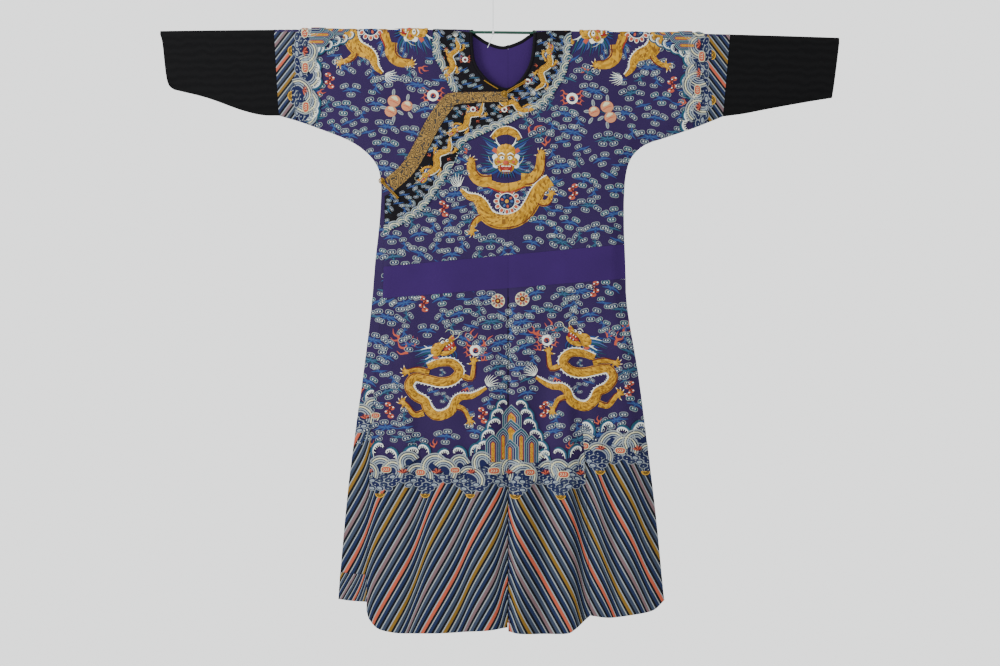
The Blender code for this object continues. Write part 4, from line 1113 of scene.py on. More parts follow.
def facing_outlines():
    """The laid pieces: facings round the neck and down the overlap, and the brocade border."""
    limit = down_at(0.0, OVERLAP_EDGE[0]["z"]) - LAYER_GAP
    edge, low = overlap_edge(), border_low_edge()
    facing_low = smooth_curve(FACING_LOW_EDGE, 4)
    side = smooth_curve(OVERLAP_SIDE, 4)
    side = side[(side[:, 1] < low[-1, 1] - 0.006) & (side[:, 1] > FACING_LOW_EDGE[-1][1] + 0.006)]
    left = neck_arc("left", BINDING_WIDTH)
    right = neck_arc("right", BINDING_WIDTH)
    left_front, left_back = left[left[:, 1] > 0], left[left[:, 1] <= 0]
    right_front, right_back = right[(right[:, 1] > 0) & (right[:, 1] < limit)], right[right[:, 1] <= 0]
    border = laid(np.vstack([edge, low[::-1]]))
    border[0, 0] = border[-1, 0] = CENTRE_X
    low_facing = laid(np.vstack([low, side, facing_low[::-1]]))
    low_facing[0, 0] = low_facing[-1, 0] = CENTRE_X
    left_edge = laid(smooth_curve(FACING_LEFT_EDGE, 4))
    left_edge[0, 1], left_edge[-1, 0] = 0.0, CENTRE_X
    right_edge = laid(smooth_curve(FACING_RIGHT_EDGE, 4))
    right_edge[0, 1] = 0.0
    under_edge = laid(edge[(edge[:, 0] > -0.098) & (edge[:, 0] < 0.026)])[::-1] - (0, LAYER_GAP)
    back_edge = laid(smooth_curve(FACING_BACK_EDGE, 6), back=True)
    back_edge[0, 1] = back_edge[-1, 1] = 0.0
    return {
        "collar_facing_left": (np.vstack([left_front, left_edge]), left_front_depth),
        "collar_facing_right": (np.vstack([right_front, right_edge, under_edge]), inner_depth),
        "collar_facing_back": (np.vstack([left_back[:-1], right_back[::-1][1:], back_edge]), back_depth),
        "overlap_facing": (low_facing, overlap_depth),
        "overlap_border": (border, overlap_depth),
    }


def inner_band_outline():
    """The band at the inner front's hem, where it shows beside the overlap."""
    top = INNER_HEM[0][1] + INNER_HEM_BAND_HEIGHT
    hem = smooth_curve(INNER_HEM, 8)
    hem = hem[hem[:, 0] < -0.12]
    corner = [(side_x("right", top), top)]
    return laid(np.vstack([corner, side_rows("right", top, -1.46), hem, hem[:0:-1] + (0, INNER_HEM_BAND_HEIGHT)]))


# Embroidered motifs, drawn in millimetres


def mirrored(half, *middle):
    """A path that starts as the mirror image of its half and ends along the half, back to where that starts."""
    return [(-x, y) for x, y in half] + [*middle] + half[::-1]


def around(x, y, radius, count):
    """Places evenly round a circle, each with its turn."""
    turns = [math.tau * k / count for k in range(count)]
    return [(x + radius * math.cos(turn), y + radius * math.sin(turn), turn) for turn in turns]


def cloud_head(work, x, y, turn, tint):
    """One curled cloud head: a tinted field in a thin pale rim that ends in two curls."""
    head = Stitching()
    head.oval(0, 0, 21.0, 11.6, tint, 1, sides=14, square=0.8, crown=0.0002)
    rim = mirrored([(-5.6, -5.4), (-9.6, -3.8), (-11.0, 0), (-9.4, 3.8), (-5.0, 5.6)])
    head.ribbon(rim, [1.5], "silver", 2, smooth=2)
    head.ribbon([(5.6, -5.4), (0, -4.2), (-5.6, -5.4)], [1.4, 1.0, 1.4], "silver", 2, smooth=2)
    head.ribbon([(-5.8, 0.8), (-3, 2.6), (3, 2.6), (5.8, 0.8)], [1.2], "grey", 2, smooth=1)
    for side in (-1, 1):
        head.oval(side * 3.6, -0.8, 3.8, 3.0, "white", 3, sides=6)
    work.place(head, x, y, turn=turn)


CLOUDS = table(
    "heads stem",
    (
        [(-22, 9, 0.3), (3, 14, 0.0), (24, 1, -0.3), (-3, -14, 3.1)],
        [(-26, 0), (-8, 2), (6, 2), (22, -8)],
    ),
    (
        [(-22, -6, 0.4), (-4, 12, 0.1), (22, 7, -0.2), (9, -14, 3.3)],
        [(-24, 4), (-6, 0), (6, -2), (26, -4)],
    ),
    (
        [(-17, 10, 0.3), (15, 9, -0.3), (0, -13, 3.1)],
        [(-22, -4), (-4, 0), (12, -1), (26, -8)],
    ),
    (
        [(-30, 7, 0.4), (-4, 14, 0.0), (24, 9, -0.3), (-17, -13, 2.9), (12, -13, 3.3)],
        [(-34, -6), (-12, 0), (6, 0), (32, -6)],
    ),
    (
        [(-13, 9, 0.4), (13, -7, 3.4)],
        [(-24, -6), (-6, 0), (6, 2), (22, 8)],
    ),
    (
        [(-9, 18, 0.2), (10, 2, -0.7), (-12, -16, 3.0)],
        [(-14, 6), (-2, 4), (0, -8), (14, -18)],
    ),
)


def cloud(kind, tint, stem):
    """A cluster of cloud heads on a curling stem."""
    work = Stitching()
    row = CLOUDS[kind]
    work.ribbon(row["stem"], [1.5, 5.5, 7.0, 5.5, 1.0], stem, 0)
    for x, y, _ in row["heads"]:
        work.ribbon([(x * 0.1, y * 0.1), (x * 0.5, y * 0.45), (x * 0.9, y * 0.8)], [6.5, 5.0, 4.5], stem, 0.2)
        vein = [(x * 0.15, y * 0.1), (x * 0.5, y * 0.45), (x * 0.8, y * 0.7)]
        work.ribbon(vein, [1.3, 1.1, 0.8], "pale_blue", 1.6)
    work.ribbon(row["stem"], [0.4, 1.3, 1.4, 0.4], "pale_blue", 1.4)
    for x, y, turn in row["heads"]:
        cloud_head(work, x, y, turn, tint)
    return work


def flame(h=26.0):
    """A forked flame of a height."""
    work = Stitching()
    work.ribbon([(0, 0), (h * 0.15, h * 0.3), (-h * 0.05, h * 0.6), (h * 0.1, h)], [4.5, 4.0, 3.0, 0.5], "coral", 0)
    work.ribbon([(h * 0.05, h * 0.3), (h * 0.35, h * 0.45), (h * 0.42, h * 0.8)], [3.5, 2.6, 0.5], "coral", 0)
    work.ribbon([(0, h * 0.1), (-h * 0.3, h * 0.25), (-h * 0.35, h * 0.55)], [3.5, 2.4, 0.5], "coral", 0)
    return work


def flames(work, *rows):
    """Loose flames, each row (x, y, size, turn)."""
    for row in rows:
        work.place(flame(), *row)


def claw():
    """A five-toed claw, its palm at the origin and its toes towards +x."""
    work = Stitching()
    for turn in (-1.3, -0.65, 0.0, 0.65, 1.9):
        tip = heading(turn)
        side = left_of(tip)
        path = [tip * 2, tip * 9 + side * 1.5, tip * 15, tip * 18 - side * 2]
        work.ribbon(path, [6.5, 5.0, 3.0, 0.8], "gold", 2, crown=0.0007)
        work.ribbon([tip * 14 + side * 0.3, tip * 19 - side * 1.6], [2.2, 0.4], "white", 3)
    work.oval(0, 0, 13, 12, "light_gold", 3, crown=0.0008)
    return work


def profile_head():
    """A dragon's head seen from the side, its snout towards +x."""
    work = Stitching()
    for k in range(13):
        y = -24 + 3.8 * k
        reach = 58 + 12 * math.sin(k * 1.9)
        thread = HAIR[k % 3]
        path = [(-6, y * 0.5), (-22, y * 0.8), (-40, y * 1.1 + 3 * math.sin(k)), (-reach, y * 1.2 + 2)]
        work.ribbon(path, [4.4, 4.8, 3.6, 0.5], thread, 1)
    for y, lift in ((10, 8), (-3, -5)):
        work.ribbon([(-10, y), (-26, y + lift * 0.6), (-44, y + lift)], [4.4, 3.4, 1.0], "white", 3)
        work.ribbon([(-26, y + lift * 0.5), (-33, y + lift + 7)], [2.6, 0.7], "white", 3)
    skull = [(-22, -10), (-24, 2), (-18, 13), (-6, 18), (6, 15), (14, 17), (22, 12), (34, 14), (39, 20), (43, 14),
             (40, 6), (28, 3), (16, 2), (4, -3), (-8, -14)]
    work.patch(skull, "gold", 3, crown=0.0016, smooth=2, rings=(0.8, 0.5))
    jaw = [(-6, -12), (6, -7), (18, -12), (32, -12), (38, -7), (35, -15), (22, -21), (4, -20)]
    work.patch(jaw, "gold", 3, crown=0.001, smooth=2)
    mouth = [(6, -4), (18, 2), (34, 4), (37, -5), (26, -11), (12, -10)]
    work.patch(mouth, "red", 3, crown=0.0004, smooth=2)
    work.ribbon([(10, -6), (22, -5), (31, -1), (38, 3)], [3.0, 4.2, 1.0], "coral", 4)
    for x, y in ((17, 0), (24, 1), (31, 2), (20, -9), (28, -8)):
        work.oval(x, y, 2.6, 4.2, "white", 5, sides=6)
    for x, y, r in ((-13, 8, 11), (-4, 13, 10), (-14, -3, 10), (-3, 3, 11), (6, 10, 8)):
        work.oval(x, y, r, r * 0.85, "light_gold", 6, sides=10, crown=0.0009)
    work.oval(38, 13, 8, 7, "coral", 6, sides=10)
    for x, y in ((12, 13), (24, 12)):
        work.oval(x, y, 9.0, 8.0, "white", 7, sides=10)
        work.oval(x + 1.0, y, 4.2, 4.2, "black", 8, sides=8)
    work.ribbon([(5, 19), (14, 23), (20, 18)], [1.0, 2.2, 1.0], "white", 7)
    work.patch([(-16, -12), (-26, -9), (-22, -18), (-10, -20)], "coral", 6)
    work.ribbon([(40, 15), (46, 26), (38, 36), (28, 33)], [1.6, 1.4, 0.6], "cream", 4)
    work.ribbon([(40, 8), (52, 10), (62, 18), (72, 16)], [1.6, 1.4, 0.5], "cream", 4)
    for k in range(5):
        x = 2 + 7 * k
        path = [(x, -17), (x + 1, -28), (x - 4, -38 + 3 * (k % 2))]
        work.ribbon(path, [3.2, 2.8, 0.5], HAIR[k % 2], 2)
    return work


def front_head():
    """A dragon's head seen from the front, as on the chest."""
    work = Stitching()
    for side in (-1, 1):
        for k in range(14):
            y = -40 + 7.0 * k
            out = 60 + 9 * math.sin(k * 2.1)
            root = [(side * 14, y * 0.55), (side * 27, y * 0.8 + 3 * math.sin(k))]
            path = [*root, (side * 42, y * 0.95), (side * out, y * 1.1 + 4)]
            work.ribbon(path, [4.6, 5.2, 4.0, 0.5], HAIR[k % 3], 1)
        work.ribbon([(side * 12, 30), (side * 22, 42), (side * 26, 56)], [4.4, 3.4, 0.8], "white", 3)
        work.ribbon([(side * 20, 40), (side * 30, 44)], [2.8, 0.7], "white", 3)
        cheek = [(side * x, y) for x, y in ((10, -10), (20, -22), (33, -18), (31, -4), (35, 8), (26, 14), (14, 8))]
        work.patch(cheek, "white", 2, crown=0.0008, smooth=2)
        work.oval(side * 22, -5, 17, 22, "gold", 4, crown=0.0008)
        work.patch([(side * 24, 14), (side * 36, 22), (side * 30, 30), (side * 20, 24)], "coral", 3)
    face = [(-24, 18), (-20, 32), (-8, 38), (8, 38), (20, 32), (24, 18), (20, -2), (22, -18), (13, -33), (0, -37),
            (-13, -33), (-22, -18), (-20, -2)]
    work.patch(face, "gold", 3, crown=0.0022, smooth=2, rings=(0.85, 0.6, 0.3))
    for x, y, r in ((-12, 30, 12), (0, 34, 13), (12, 30, 12), (-6, 22, 11), (6, 22, 11), (0, 13, 9)):
        work.oval(x, y, r, r * 0.85, "light_gold", 9, sides=10, crown=0.0009)
    for side in (-1, 1):
        work.ribbon([(side * 3, 11), (side * 11, 16), (side * 20, 11)], [2.4, 3.6, 1.0], "white", 10)
        work.oval(side * 10, 4, 12, 9, "white", 10, sides=12)
        work.oval(side * 9, 4, 5, 5, "black", 11, sides=8)
        work.oval(side * 19, -6, 8, 7, "coral", 9, sides=10)
    work.oval(0, -8, 15, 11, "coral", 10, crown=0.0012)
    work.patch([(-15, -14), (0, -17), (15, -14), (14, -27), (0, -33), (-14, -27)], "red", 8, smooth=2)
    for k in range(6):
        work.oval(-10 + 4 * k, -17, 3.4, 4.6, "white", 9, sides=6)
        work.oval(-8 + 3.2 * k, -29, 2.8, 3.4, "white", 9, sides=6)
    work.ribbon([(-6, -23), (0, -25), (6, -23)], [2, 5, 2], "coral", 10)
    for side in (-1, 1):
        work.ribbon([(side * 8, -10), (side * 26, -16), (side * 40, -4), (side * 44, 8)], [1.8, 1.6, 0.6], "cream", 11)
    for k in range(7):
        x = -15 + 5 * k
        work.ribbon([(x, -30), (x * 1.3, -40), (x * 1.5, -47)], [3.2, 2.6, 0.5], HAIR[k % 2], 7)
    return work


def limb(work, path, width=15.0):
    """A leg that ends in a claw, with a red flame along its inner side."""
    work.ribbon(path, [width, width * 0.85, width * 0.6], "gold", 1, crown=0.0012, across=5)
    work.ribbon(path, [3.0, 3.0, 1.0], "dark_red", 4, offset=-width * 0.32)
    end = np.array(path[-1], float) - np.array(path[-2], float)
    work.place(claw(), *path[-1], 0.9, math.atan2(end[1], end[0]))


def body(work, path, widths, spine=1.0):
    """A scaled body with a pale toothed spine and red belly flames."""
    line_points = smooth_curve(path, 4)
    breadth = np.interp(np.linspace(0, 1, len(line_points)), np.linspace(0, 1, len(widths)), widths)
    work.ribbon(line_points, breadth, "gold", 1, crown=0.0018, smooth=1, across=7)
    work.ribbon(line_points, [2.2], "white", 3, smooth=1, offset=breadth * 0.5 * spine)
    tangent = normalised(np.gradient(line_points, axis=0))
    side = left_of(tangent)
    for i in range(1, len(line_points) - 2):
        centre = line_points[i] + side[i] * (breadth[i] * 0.5 + 0.8) * spine
        point = centre + side[i] * 3.4 * spine + tangent[i] * 1.6
        base = tangent[i] * 1.8
        work.patch([centre - base, centre + base, point], "white", 2, rings=())
    half = len(line_points) * 2 // 3
    inward = -breadth[3:half] * 0.4 * spine
    work.ribbon(line_points[3:half], [0.8, 2.4, 2.4, 0.8], "dark_red", 4, smooth=1, offset=inward)


def plume(work, x, y, turn):
    """The white tail plume of long separate hairs."""
    for k in range(7):
        spread = turn + (k - 3) * 0.24
        tip = heading(spread)
        bend = left_of(tip) * (3.0 + 0.8 * (k - 3))
        length = 34 - 2.6 * abs(k - 3)
        path = [(x, y) + tip * 2, (x, y) + tip * length * 0.55 + bend, (x, y) + tip * length]
        work.ribbon(path, [1.4, 2.0, 0.5], "white", 2)


def pearl():
    """A pearl, a white ring with a curl in it, with flames to both sides."""
    work = Stitching()
    for side in (-1, 1):
        for k in range(3):
            y = 12 - 12 * k
            work.ribbon([(side * 10, y * 0.8), (side * 18, y), (side * 22, y + 7), (side * 29, y + 5)],
                        [3.2, 3.6, 2.6, 0.6], "coral", 0)
            work.ribbon([(side * 18, y), (side * 24, y - 4)], [2.6, 0.6], "coral", 0)
    work.oval(0, 0, 28, 27, "white", 1, sides=16, crown=0.0006)
    work.oval(0.5, -1, 15, 14, "deep_blue", 4, sides=12, crown=0.0002)
    work.ribbon([(-5, -3), (-3, 4), (4, 4), (5, -2), (0, -3)], [2.2, 3.0, 2.6, 1.4], "coral", 5)
    return work


def among_coils(work, *rows):
    """Small clouds in the gaps that a dragon leaves, each row (x, y, size)."""
    for k, (x, y, size) in enumerate(rows):
        work.place(cloud(4 + k % 2, "steel_blue", HAIR[k % 2]), x, y, size, height=0.3)


def walking_dragon():
    """A dragon striding with its head turned up to a pearl."""
    work = Stitching()
    limb(work, [(-30, 32), (-58, 38), (-84, 32)])
    limb(work, [(44, 24), (70, 16), (76, 40), (76, 56)])
    limb(work, [(-44, -66), (-66, -70), (-84, -48), (-92, -42)], 16)
    limb(work, [(28, -50), (52, -58), (66, -84)], 15)
    path = [(-34, 44), (-6, 54), (24, 54), (42, 34), (26, 13), (-4, 7), (-38, 14), (-66, 18), (-79, -3),
            (-64, -26), (-42, -38), (-34, -56), (-16, -72), (6, -70), (24, -58), (32, -38), (46, -27), (68, -26),
            (88, -17), (106, -5)]
    body(work, path, [17, 21, 24, 24, 23, 23, 24, 24, 22, 19, 14, 8])
    among_coils(work, (-20, -16, 0.62), (8, -30, 0.55), (62, -4, 0.6), (-104, -4, 0.7), (64, -66, 0.6), (2, 30, 0.36))
    plume(work, 108, -2, 0.8)
    work.place(pearl(), 80, 84)
    flames(work, (-84, 74, 1.5, 0.7), (-104, 104, 1.3, 0.5), (-66, 92, 1.0, 0.2), (62, 106, 1.3, -0.4),
           (102, 96, 1.2, -0.6), (94, 60, 0.8, -0.9), (62, -6, 0.8, 2.6))
    work.place(profile_head(), -4, 86, 0.98, 0.42, height=HEAD_HEIGHT)
    return work


def chest_dragon():
    """The dragon that faces forward, coiled round a roundel."""
    work = Stitching()
    limb(work, [(-34, -50), (-62, -50), (-80, -32), (-84, -6)], 32)
    limb(work, [(36, -48), (62, -46), (80, -24), (84, 14)], 32)
    path = [(106, -48), (88, -62), (74, -80), (62, -104), (44, -130), (16, -146), (-18, -148), (-44, -136),
            (-58, -108), (-72, -94), (-92, -88), (-108, -72)]
    body(work, path, [30, 34, 35, 36, 36, 36, 37, 36, 30, 22, 15, 8], spine=-1.0)
    among_coils(work, (-54, -74, 0.62), (46, -82, 0.62), (-58, -22, 0.55), (58, -18, 0.55), (34, -118, 0.4),
                (-76, -118, 0.6))
    thick = {"crown": 0.0016, "across": 5}
    work.ribbon([(-32, 50), (-20, 64), (2, 70), (22, 62), (32, 48)], [8, 17, 20, 17, 8], "gold", 1, **thick)
    work.ribbon([(-38, 54), (-22, 73), (2, 80), (26, 71), (38, 52)], [1.8], "white", 2)
    work.ribbon([(-46, -54), (-14, -68), (20, -66), (48, -52)], [16, 24, 24, 16], "gold", 1, **thick)
    work.ribbon([(-44, -66), (0, -80), (46, -64)], [3, 4, 3], "red", 4)
    limb(work, [(70, -96), (92, -104), (104, -96), (108, -82)], 18)
    limb(work, [(-36, -136), (-64, -140), (-78, -156), (-82, -172)], 18)
    plume(work, -110, -66, 1.9)
    for x, y, turn in ((-60, -40, 2.4), (56, -38, 0.6), (-62, -140, 3.6), (84, -104, -0.6), (100, -56, 0.3),
                       (-30, -60, -2.2)):
        for k in range(4):
            spread = turn + 0.22 * (k - 1.5)
            tip = heading(spread)
            path = [(x, y), (x, y) + tip * 14 + (2, -2), (x, y) + tip * (26 + 3 * (k % 2))]
            work.ribbon(path, [3.6, 3.6, 0.5], HAIR[k % 3], 0)
    for x, y, turn in around(2, -100, 25, 12):
        work.oval(x, y, 13.5, 11, "white", 3, turn, 10)
        work.oval(x, y, 10.5, 8, "coral", 4, turn, 10)
    work.oval(2, -100, 42, 41, "white", 5, sides=24, crown=0.0002)
    work.oval(2, -100, 38, 37, "deep_blue", 6, sides=24, crown=0.0002)
    for k, (x, y, turn) in enumerate(around(2, -100, 12, 9)):
        work.oval(x, y, 8, 6, ("pale_blue", "coral", "slate")[k % 3], 7, turn, 8)
    work.oval(2, -100, 9, 9, "light_gold", 7)
    flames(work, (54, 62, 1.5, -0.9), (-58, 62, 1.3, 0.9), (92, 34, 1.0, -0.2), (-96, 14, 1.0, 0.3))
    work.place(front_head(), 0, 0, 0.95, height=HEAD_HEIGHT)
    return work


def running_dragon():
    """A smaller dragon running to the right, for shoulders and facings."""
    work = Stitching()
    limb(work, [(-20, 10), (-34, 34), (-50, 40)], 14)
    limb(work, [(30, 6), (50, 30), (66, 34)], 14)
    limb(work, [(-70, -14), (-84, -38), (-102, -42)], 14)
    limb(work, [(6, -16), (20, -40), (38, -44)], 14)
    path = [(64, 2), (44, -8), (22, -14), (0, -6), (-18, 10), (-40, 14), (-60, 0), (-78, -14), (-100, -12),
            (-120, 4), (-138, 12)]
    body(work, path, [26, 32, 34, 34, 32, 29, 24, 17, 9])
    plume(work, -140, 14, 2.6)
    flames(work, (-10, 40, 0.8, 0.2), (34, -44, 0.8, 3.4), (-60, 40, 0.9, 0.4), (-44, -34, 0.8, 2.8))
    work.place(profile_head(), 86, 8, 0.9, 0.1, height=HEAD_HEIGHT)
    return work


def bat():
    """A red bat, its wings curled into one upright figure."""
    work = Stitching()
    for x, y, width, height in ((-4, 14, 15, 11), (5, 5, 14, 10), (-5, -4, 14, 10), (3, -14, 16, 11)):
        work.oval(x, y, width, height, "coral", 0, sides=12)
    work.ribbon([(-6, 14), (4, 6), (-4, -3), (4, -14)], [2.0, 3.0, 3.0, 2.0], "dark_red", 3)
    for x, y in ((-8, 16), (9, 7), (-9, -3), (7, -15), (0, 12), (1, -8)):
        work.oval(x, y, 4.6, 3.4, "white", 3, sides=6)
    return work


def peach():
    """Three peaches on a twig with pale leaves."""
    work = Stitching()
    work.ribbon([(-30, -22), (-10, -2), (8, 4), (26, 22)], [1.5, 2.0, 1.6, 1.0], "teal", 0)
    leaves = ((-38, -2, 3.0), (-14, 34, 1.5), (2, -14, -0.6), (34, 2, 0.0), (-14, -30, 1.4), (26, -20, -1.0),
              (20, 22, 1.4))
    for x, y, turn in leaves:
        work.oval(x, y, 18, 8, "silver", 1, turn, 12)
        reach = (6 * math.cos(turn), 6 * math.sin(turn))
        work.ribbon([(x - reach[0], y - reach[1]), (x + reach[0], y + reach[1])], [1.2], "slate", 3, smooth=1)
    for x, y, width in ((-13, 14, 31), (-21, -11, 29), (18, 2, 27)):
        work.oval(x, y, width, width * 0.92, "peach", 2, sides=16, crown=0.0008)
        glow = [(x + width * across, y + width * up) for across, up in ((-0.2, 0.28), (0.08, 0.22), (0.3, 0.02))]
        work.ribbon(glow, [3.0, 9.5, 3.0], "cream", 5, smooth=4, across=5)
        cleft = [(x + width * across, y + width * up) for across, up in ((-0.34, 0.05), (-0.02, -0.04), (0.3, -0.24))]
        work.ribbon(cleft, [0.8, 1.8, 0.8], "coral", 5)
    return work


def medallion():
    """The small flower below the waist band."""
    work = Stitching()
    work.oval(0, 0, 34, 34, "cream", 0, sides=20)
    for k, (x, y, turn) in enumerate(around(0, 0, 11, 10)):
        work.oval(x, y, 9, 6, ("coral", "pink_grey")[k % 2], 1, turn, 8)
    work.oval(0, 0, 14, 14, "dark_red", 2)
    work.oval(0, 0, 7, 7, "light_gold", 3, sides=8)
    return work


def foam():
    """A breaking crest that curls over to +x, its underside toothed, with a teal back."""
    work = Stitching()
    work.ribbon([(-18, -24), (-16, -4), (-7, 10), (6, 17), (19, 14)], [2, 7, 8, 6, 1], "teal", 5)
    work.ribbon([(-17, -24), (-14.5, -3), (-5, 9), (8, 14.5), (20, 12)], [1, 2, 2, 2, 1], "pale_blue", 6)
    crest = [(-13, -22), (-10.5, -4), (-2, 7), (9, 11), (19, 7), (21, -1)]
    work.ribbon(crest, [1.2, 3.4, 4.4, 4.4, 3.6, 1.6], "white", 6, crown=0.0005)
    for x, y, turn in ((-9, -8, -0.6), (-5, 2, -0.9), (1, 6, -1.2), (7, 8, -1.4), (13, 7, -1.5), (18, 3, -1.6)):
        tip = (x + 6 * math.cos(turn), y + 6 * math.sin(turn))
        work.ribbon([(x, y), ((x + tip[0]) / 2, (y + tip[1]) / 2), tip], [3.2, 2.4, 0.6], "white", 7, smooth=1)
    return work


def arch(width, height):
    """A wave: parallel ribbons that rise and fall over a dark ground."""
    work = Stitching()
    outer = mirrored([(width / 2, 0), (width * 0.4, height * 0.62), (width * 0.16, height)])
    work.patch(outer, "deep_blue", 5, crown=0.0001, smooth=2)
    for k, thread in enumerate(("silver", "cream", "grey", "silver")):
        half, top = width / 2 - 1.2 - 5.2 * k, height - 1.2 - 5.4 * k
        path = mirrored([(half, 0), (half * 0.8, top * 0.62), (half * 0.3, top * 0.98)])
        work.ribbon(path, [3.4], thread, 6, crown=0.0006)
    return work


def scale_oval(tint):
    """One rounded wave scale: a pale rim, a tinted field and a pale bead."""
    work = Stitching()
    work.oval(0, 0, 22.5, 14, "silver", 1, sides=14, crown=0.0001)
    work.oval(0, -0.2, 19.2, 10.8, "deep_blue", 2, sides=12, crown=0.0001)
    work.oval(0, -0.8, 13.0, 6.6, tint, 3, sides=10, crown=0.0001)
    work.oval(-0.4, -1.0, 4.0, 2.6, "silver", 5, sides=6, crown=0.0001)
    return work


def gold_cup():
    """The rounded gold foot that hangs below the sea."""
    work = Stitching()
    rings = ((13, "light_gold"), (10, "navy"), (8.6, "ochre"), (5, "navy"), (3.6, "light_gold"))
    for k, (radius, thread) in enumerate(rings):
        bowl = [(radius * math.cos(a), radius * 0.85 * math.sin(a)) for a in np.linspace(math.pi, math.tau, 9)]
        work.patch(bowl, thread, 5 + k * 0.5, crown=0.0001, rings=())
    return work


PEAK_BANDS = (
    (1.3, "silver"), (3.6, "teal"), (1.2, "grey"), (2.8, "deep_blue"), (1.1, "silver"), (2.4, "steel_blue"),
    (1.4, "coral"), (9.0, "gold"),
)


def mountain(work, x, foot, width, height, level):
    """A rocky peak with nested bands round a bright core."""
    inset_by = 0.0
    for k, (band, thread) in enumerate(PEAK_BANDS):
        w, h = width / 2 - inset_by, height - inset_by * 1.5
        if w < 1.5 or h < 6:
            break
        shape = mirrored([(w, 0), (w, h - w * 1.1), (w * 0.62, h - w * 0.55)], (0, h))
        ring = densified(np.array([(x + px, foot + max(py, 0.5)) for px, py in shape]), 4.0)
        work.patch(ring, thread, level + k * 0.4, crown=0.00002, rings=(0.84, 0.66, 0.48, 0.28))
        inset_by += band


def mountains():
    """The group of peaks at the centre, with spray to both sides, its foot at y = 0."""
    work = Stitching()
    for x, foot, width, height, level in (
        (0, 40, 46, 92, 0), (0, 10, 52, 88, 4), (-22, 0, 34, 78, 7), (22, 0, 34, 78, 7), (-46, -6, 34, 68, 10),
        (46, -6, 34, 68, 10), (0, 0, 34, 50, 12),
    ):
        mountain(work, x, foot, width, height, level)
    crest = foam()
    for side in (-1, 1):
        for x, y, size in ((76, 6, 0.9), (72, 34, 0.85), (60, 62, 0.8), (46, 88, 0.8), (38, 112, 0.75),
                           (26, 134, 0.65)):
            work.place(crest, side * x, y, size, side * 0.1, side > 0, height=0.8)
    return work


# Filling the cloth


def scattered(rng, outline, zones, covered, spacing, margin):
    """Places in an outline, evenly spread, clear of its edge and of the zones (x, s, half width, half height)."""
    low, high = outline.min(0), outline.max(0)
    candidates = low + (high - low) * rng.random((SCATTER_TRIES, 2))
    candidates = candidates[inside(candidates, outline)]
    candidates = candidates[distance_to_line(candidates, closed_up(outline)) > margin]
    candidates = candidates[[not in_bands(candidate) for candidate in candidates]]
    for other in covered:
        beyond = distance_to_line(candidates, closed_up(other)) > margin
        candidates = candidates[~inside(candidates, other) & beyond]
    for x, s, half_width, half_height in zones:
        reach = ((candidates[:, 0] - x) / half_width) ** 2 + ((candidates[:, 1] - s) / half_height) ** 2
        candidates = candidates[reach > 1]
    kept = np.zeros((0, 2))
    for candidate in candidates:
        gap = (kept - candidate) / spacing
        if not len(kept) or (gap**2).sum(1).min() > 1:
            kept = np.vstack([kept, candidate])
    return kept


def foam_edge(work, run, toward):
    """A row of overlapping foam arches along an edge, on its side towards a place."""
    run = np.array(run)
    length = lengths_along(run)
    wave = Stitching()
    shape = [(-17, -1), (-13, 8), (-5, 14), (5, 16), (13, 11), (16, 3), (13, -1)]
    wave.patch(shape, "teal", 0, crown=0.0001, smooth=2)
    for k in range(3):
        path = [(x * (1 - 0.3 * k) + k * 1.5, y * (1 - 0.3 * k) - 1.2) for x, y in shape[:-1]]
        wave.ribbon(path, [2.6, 2.8, 2.2], ("silver", "cream", "silver")[k], 1, crown=0.0004)
    for k, place in enumerate(np.arange(FOAM_START, length[-1], FOAM_STEP)):
        p = np.array([np.interp(place, length, run[:, i]) for i in (0, 1)])
        q = np.array([np.interp(place + 0.002, length, run[:, i]) for i in (0, 1)])
        normal = left_of(normalised(q - p))
        if (toward - p) @ normal < 0:
            normal = -normal
        work.stamp(wave, *(p + normal * 0.001), 1.0, math.atan2(-normal[0], normal[1]), height=1.0 + 0.7 * (k % 2))


class Clouds:
    """The cloud motifs, made once and scattered over the field."""

    def __init__(self):
        tints = (("slate", "blue"), ("steel_blue", "teal"), ("teal", "blue"), ("steel_blue", "blue"))
        self.big = [cloud(kind, *tints[(kind + k) % 4]) for kind in range(4) for k in range(3)]
        self.small = [cloud(kind, *tint) for kind in (4, 5) for tint in tints]

    def fill(self, work, outline, zones, seed, covered):
        """Clouds over an outline: large clusters first, then small ones in what is left."""
        rng = np.random.default_rng(seed)
        places = scattered(rng, outline, zones, covered, **BIG_CLOUDS)
        for x, s in places:
            self.place(work, self.big[rng.integers(len(self.big))], x, s, rng, BIG_CLOUD_SIZE)
        taken = [(x, s, *CLOUD_REACH) for x, s in places]
        for x, s in scattered(rng, outline, zones + taken, covered, **SMALL_CLOUDS):
            self.place(work, self.small[rng.integers(len(self.small))], x, s, rng, SMALL_CLOUD_SIZE)

    def place(self, work, motif, x, s, rng, size):
        turn = rng.uniform(-CLOUD_TURN, CLOUD_TURN)
        work.stamp(motif, x, s, size, turn, mirror=rng.random() < 0.5, up=1.0 if s < 0 else -1.0)


def in_bands(place):
    """Whether a place is in the sea bands or stripes of the sleeves or the skirt."""
    x, s = place
    on_sleeve = x < SLEEVE_BAND_STARTS["right"] - SLEEVE_CLEARANCE or x > SLEEVE_BAND_STARTS["left"] + SLEEVE_CLEARANCE
    return on_sleeve or rod_z(x) - abs(s) + QUARTER_TURN < WAVE_TOP_Z + WAVE_CLEARANCE


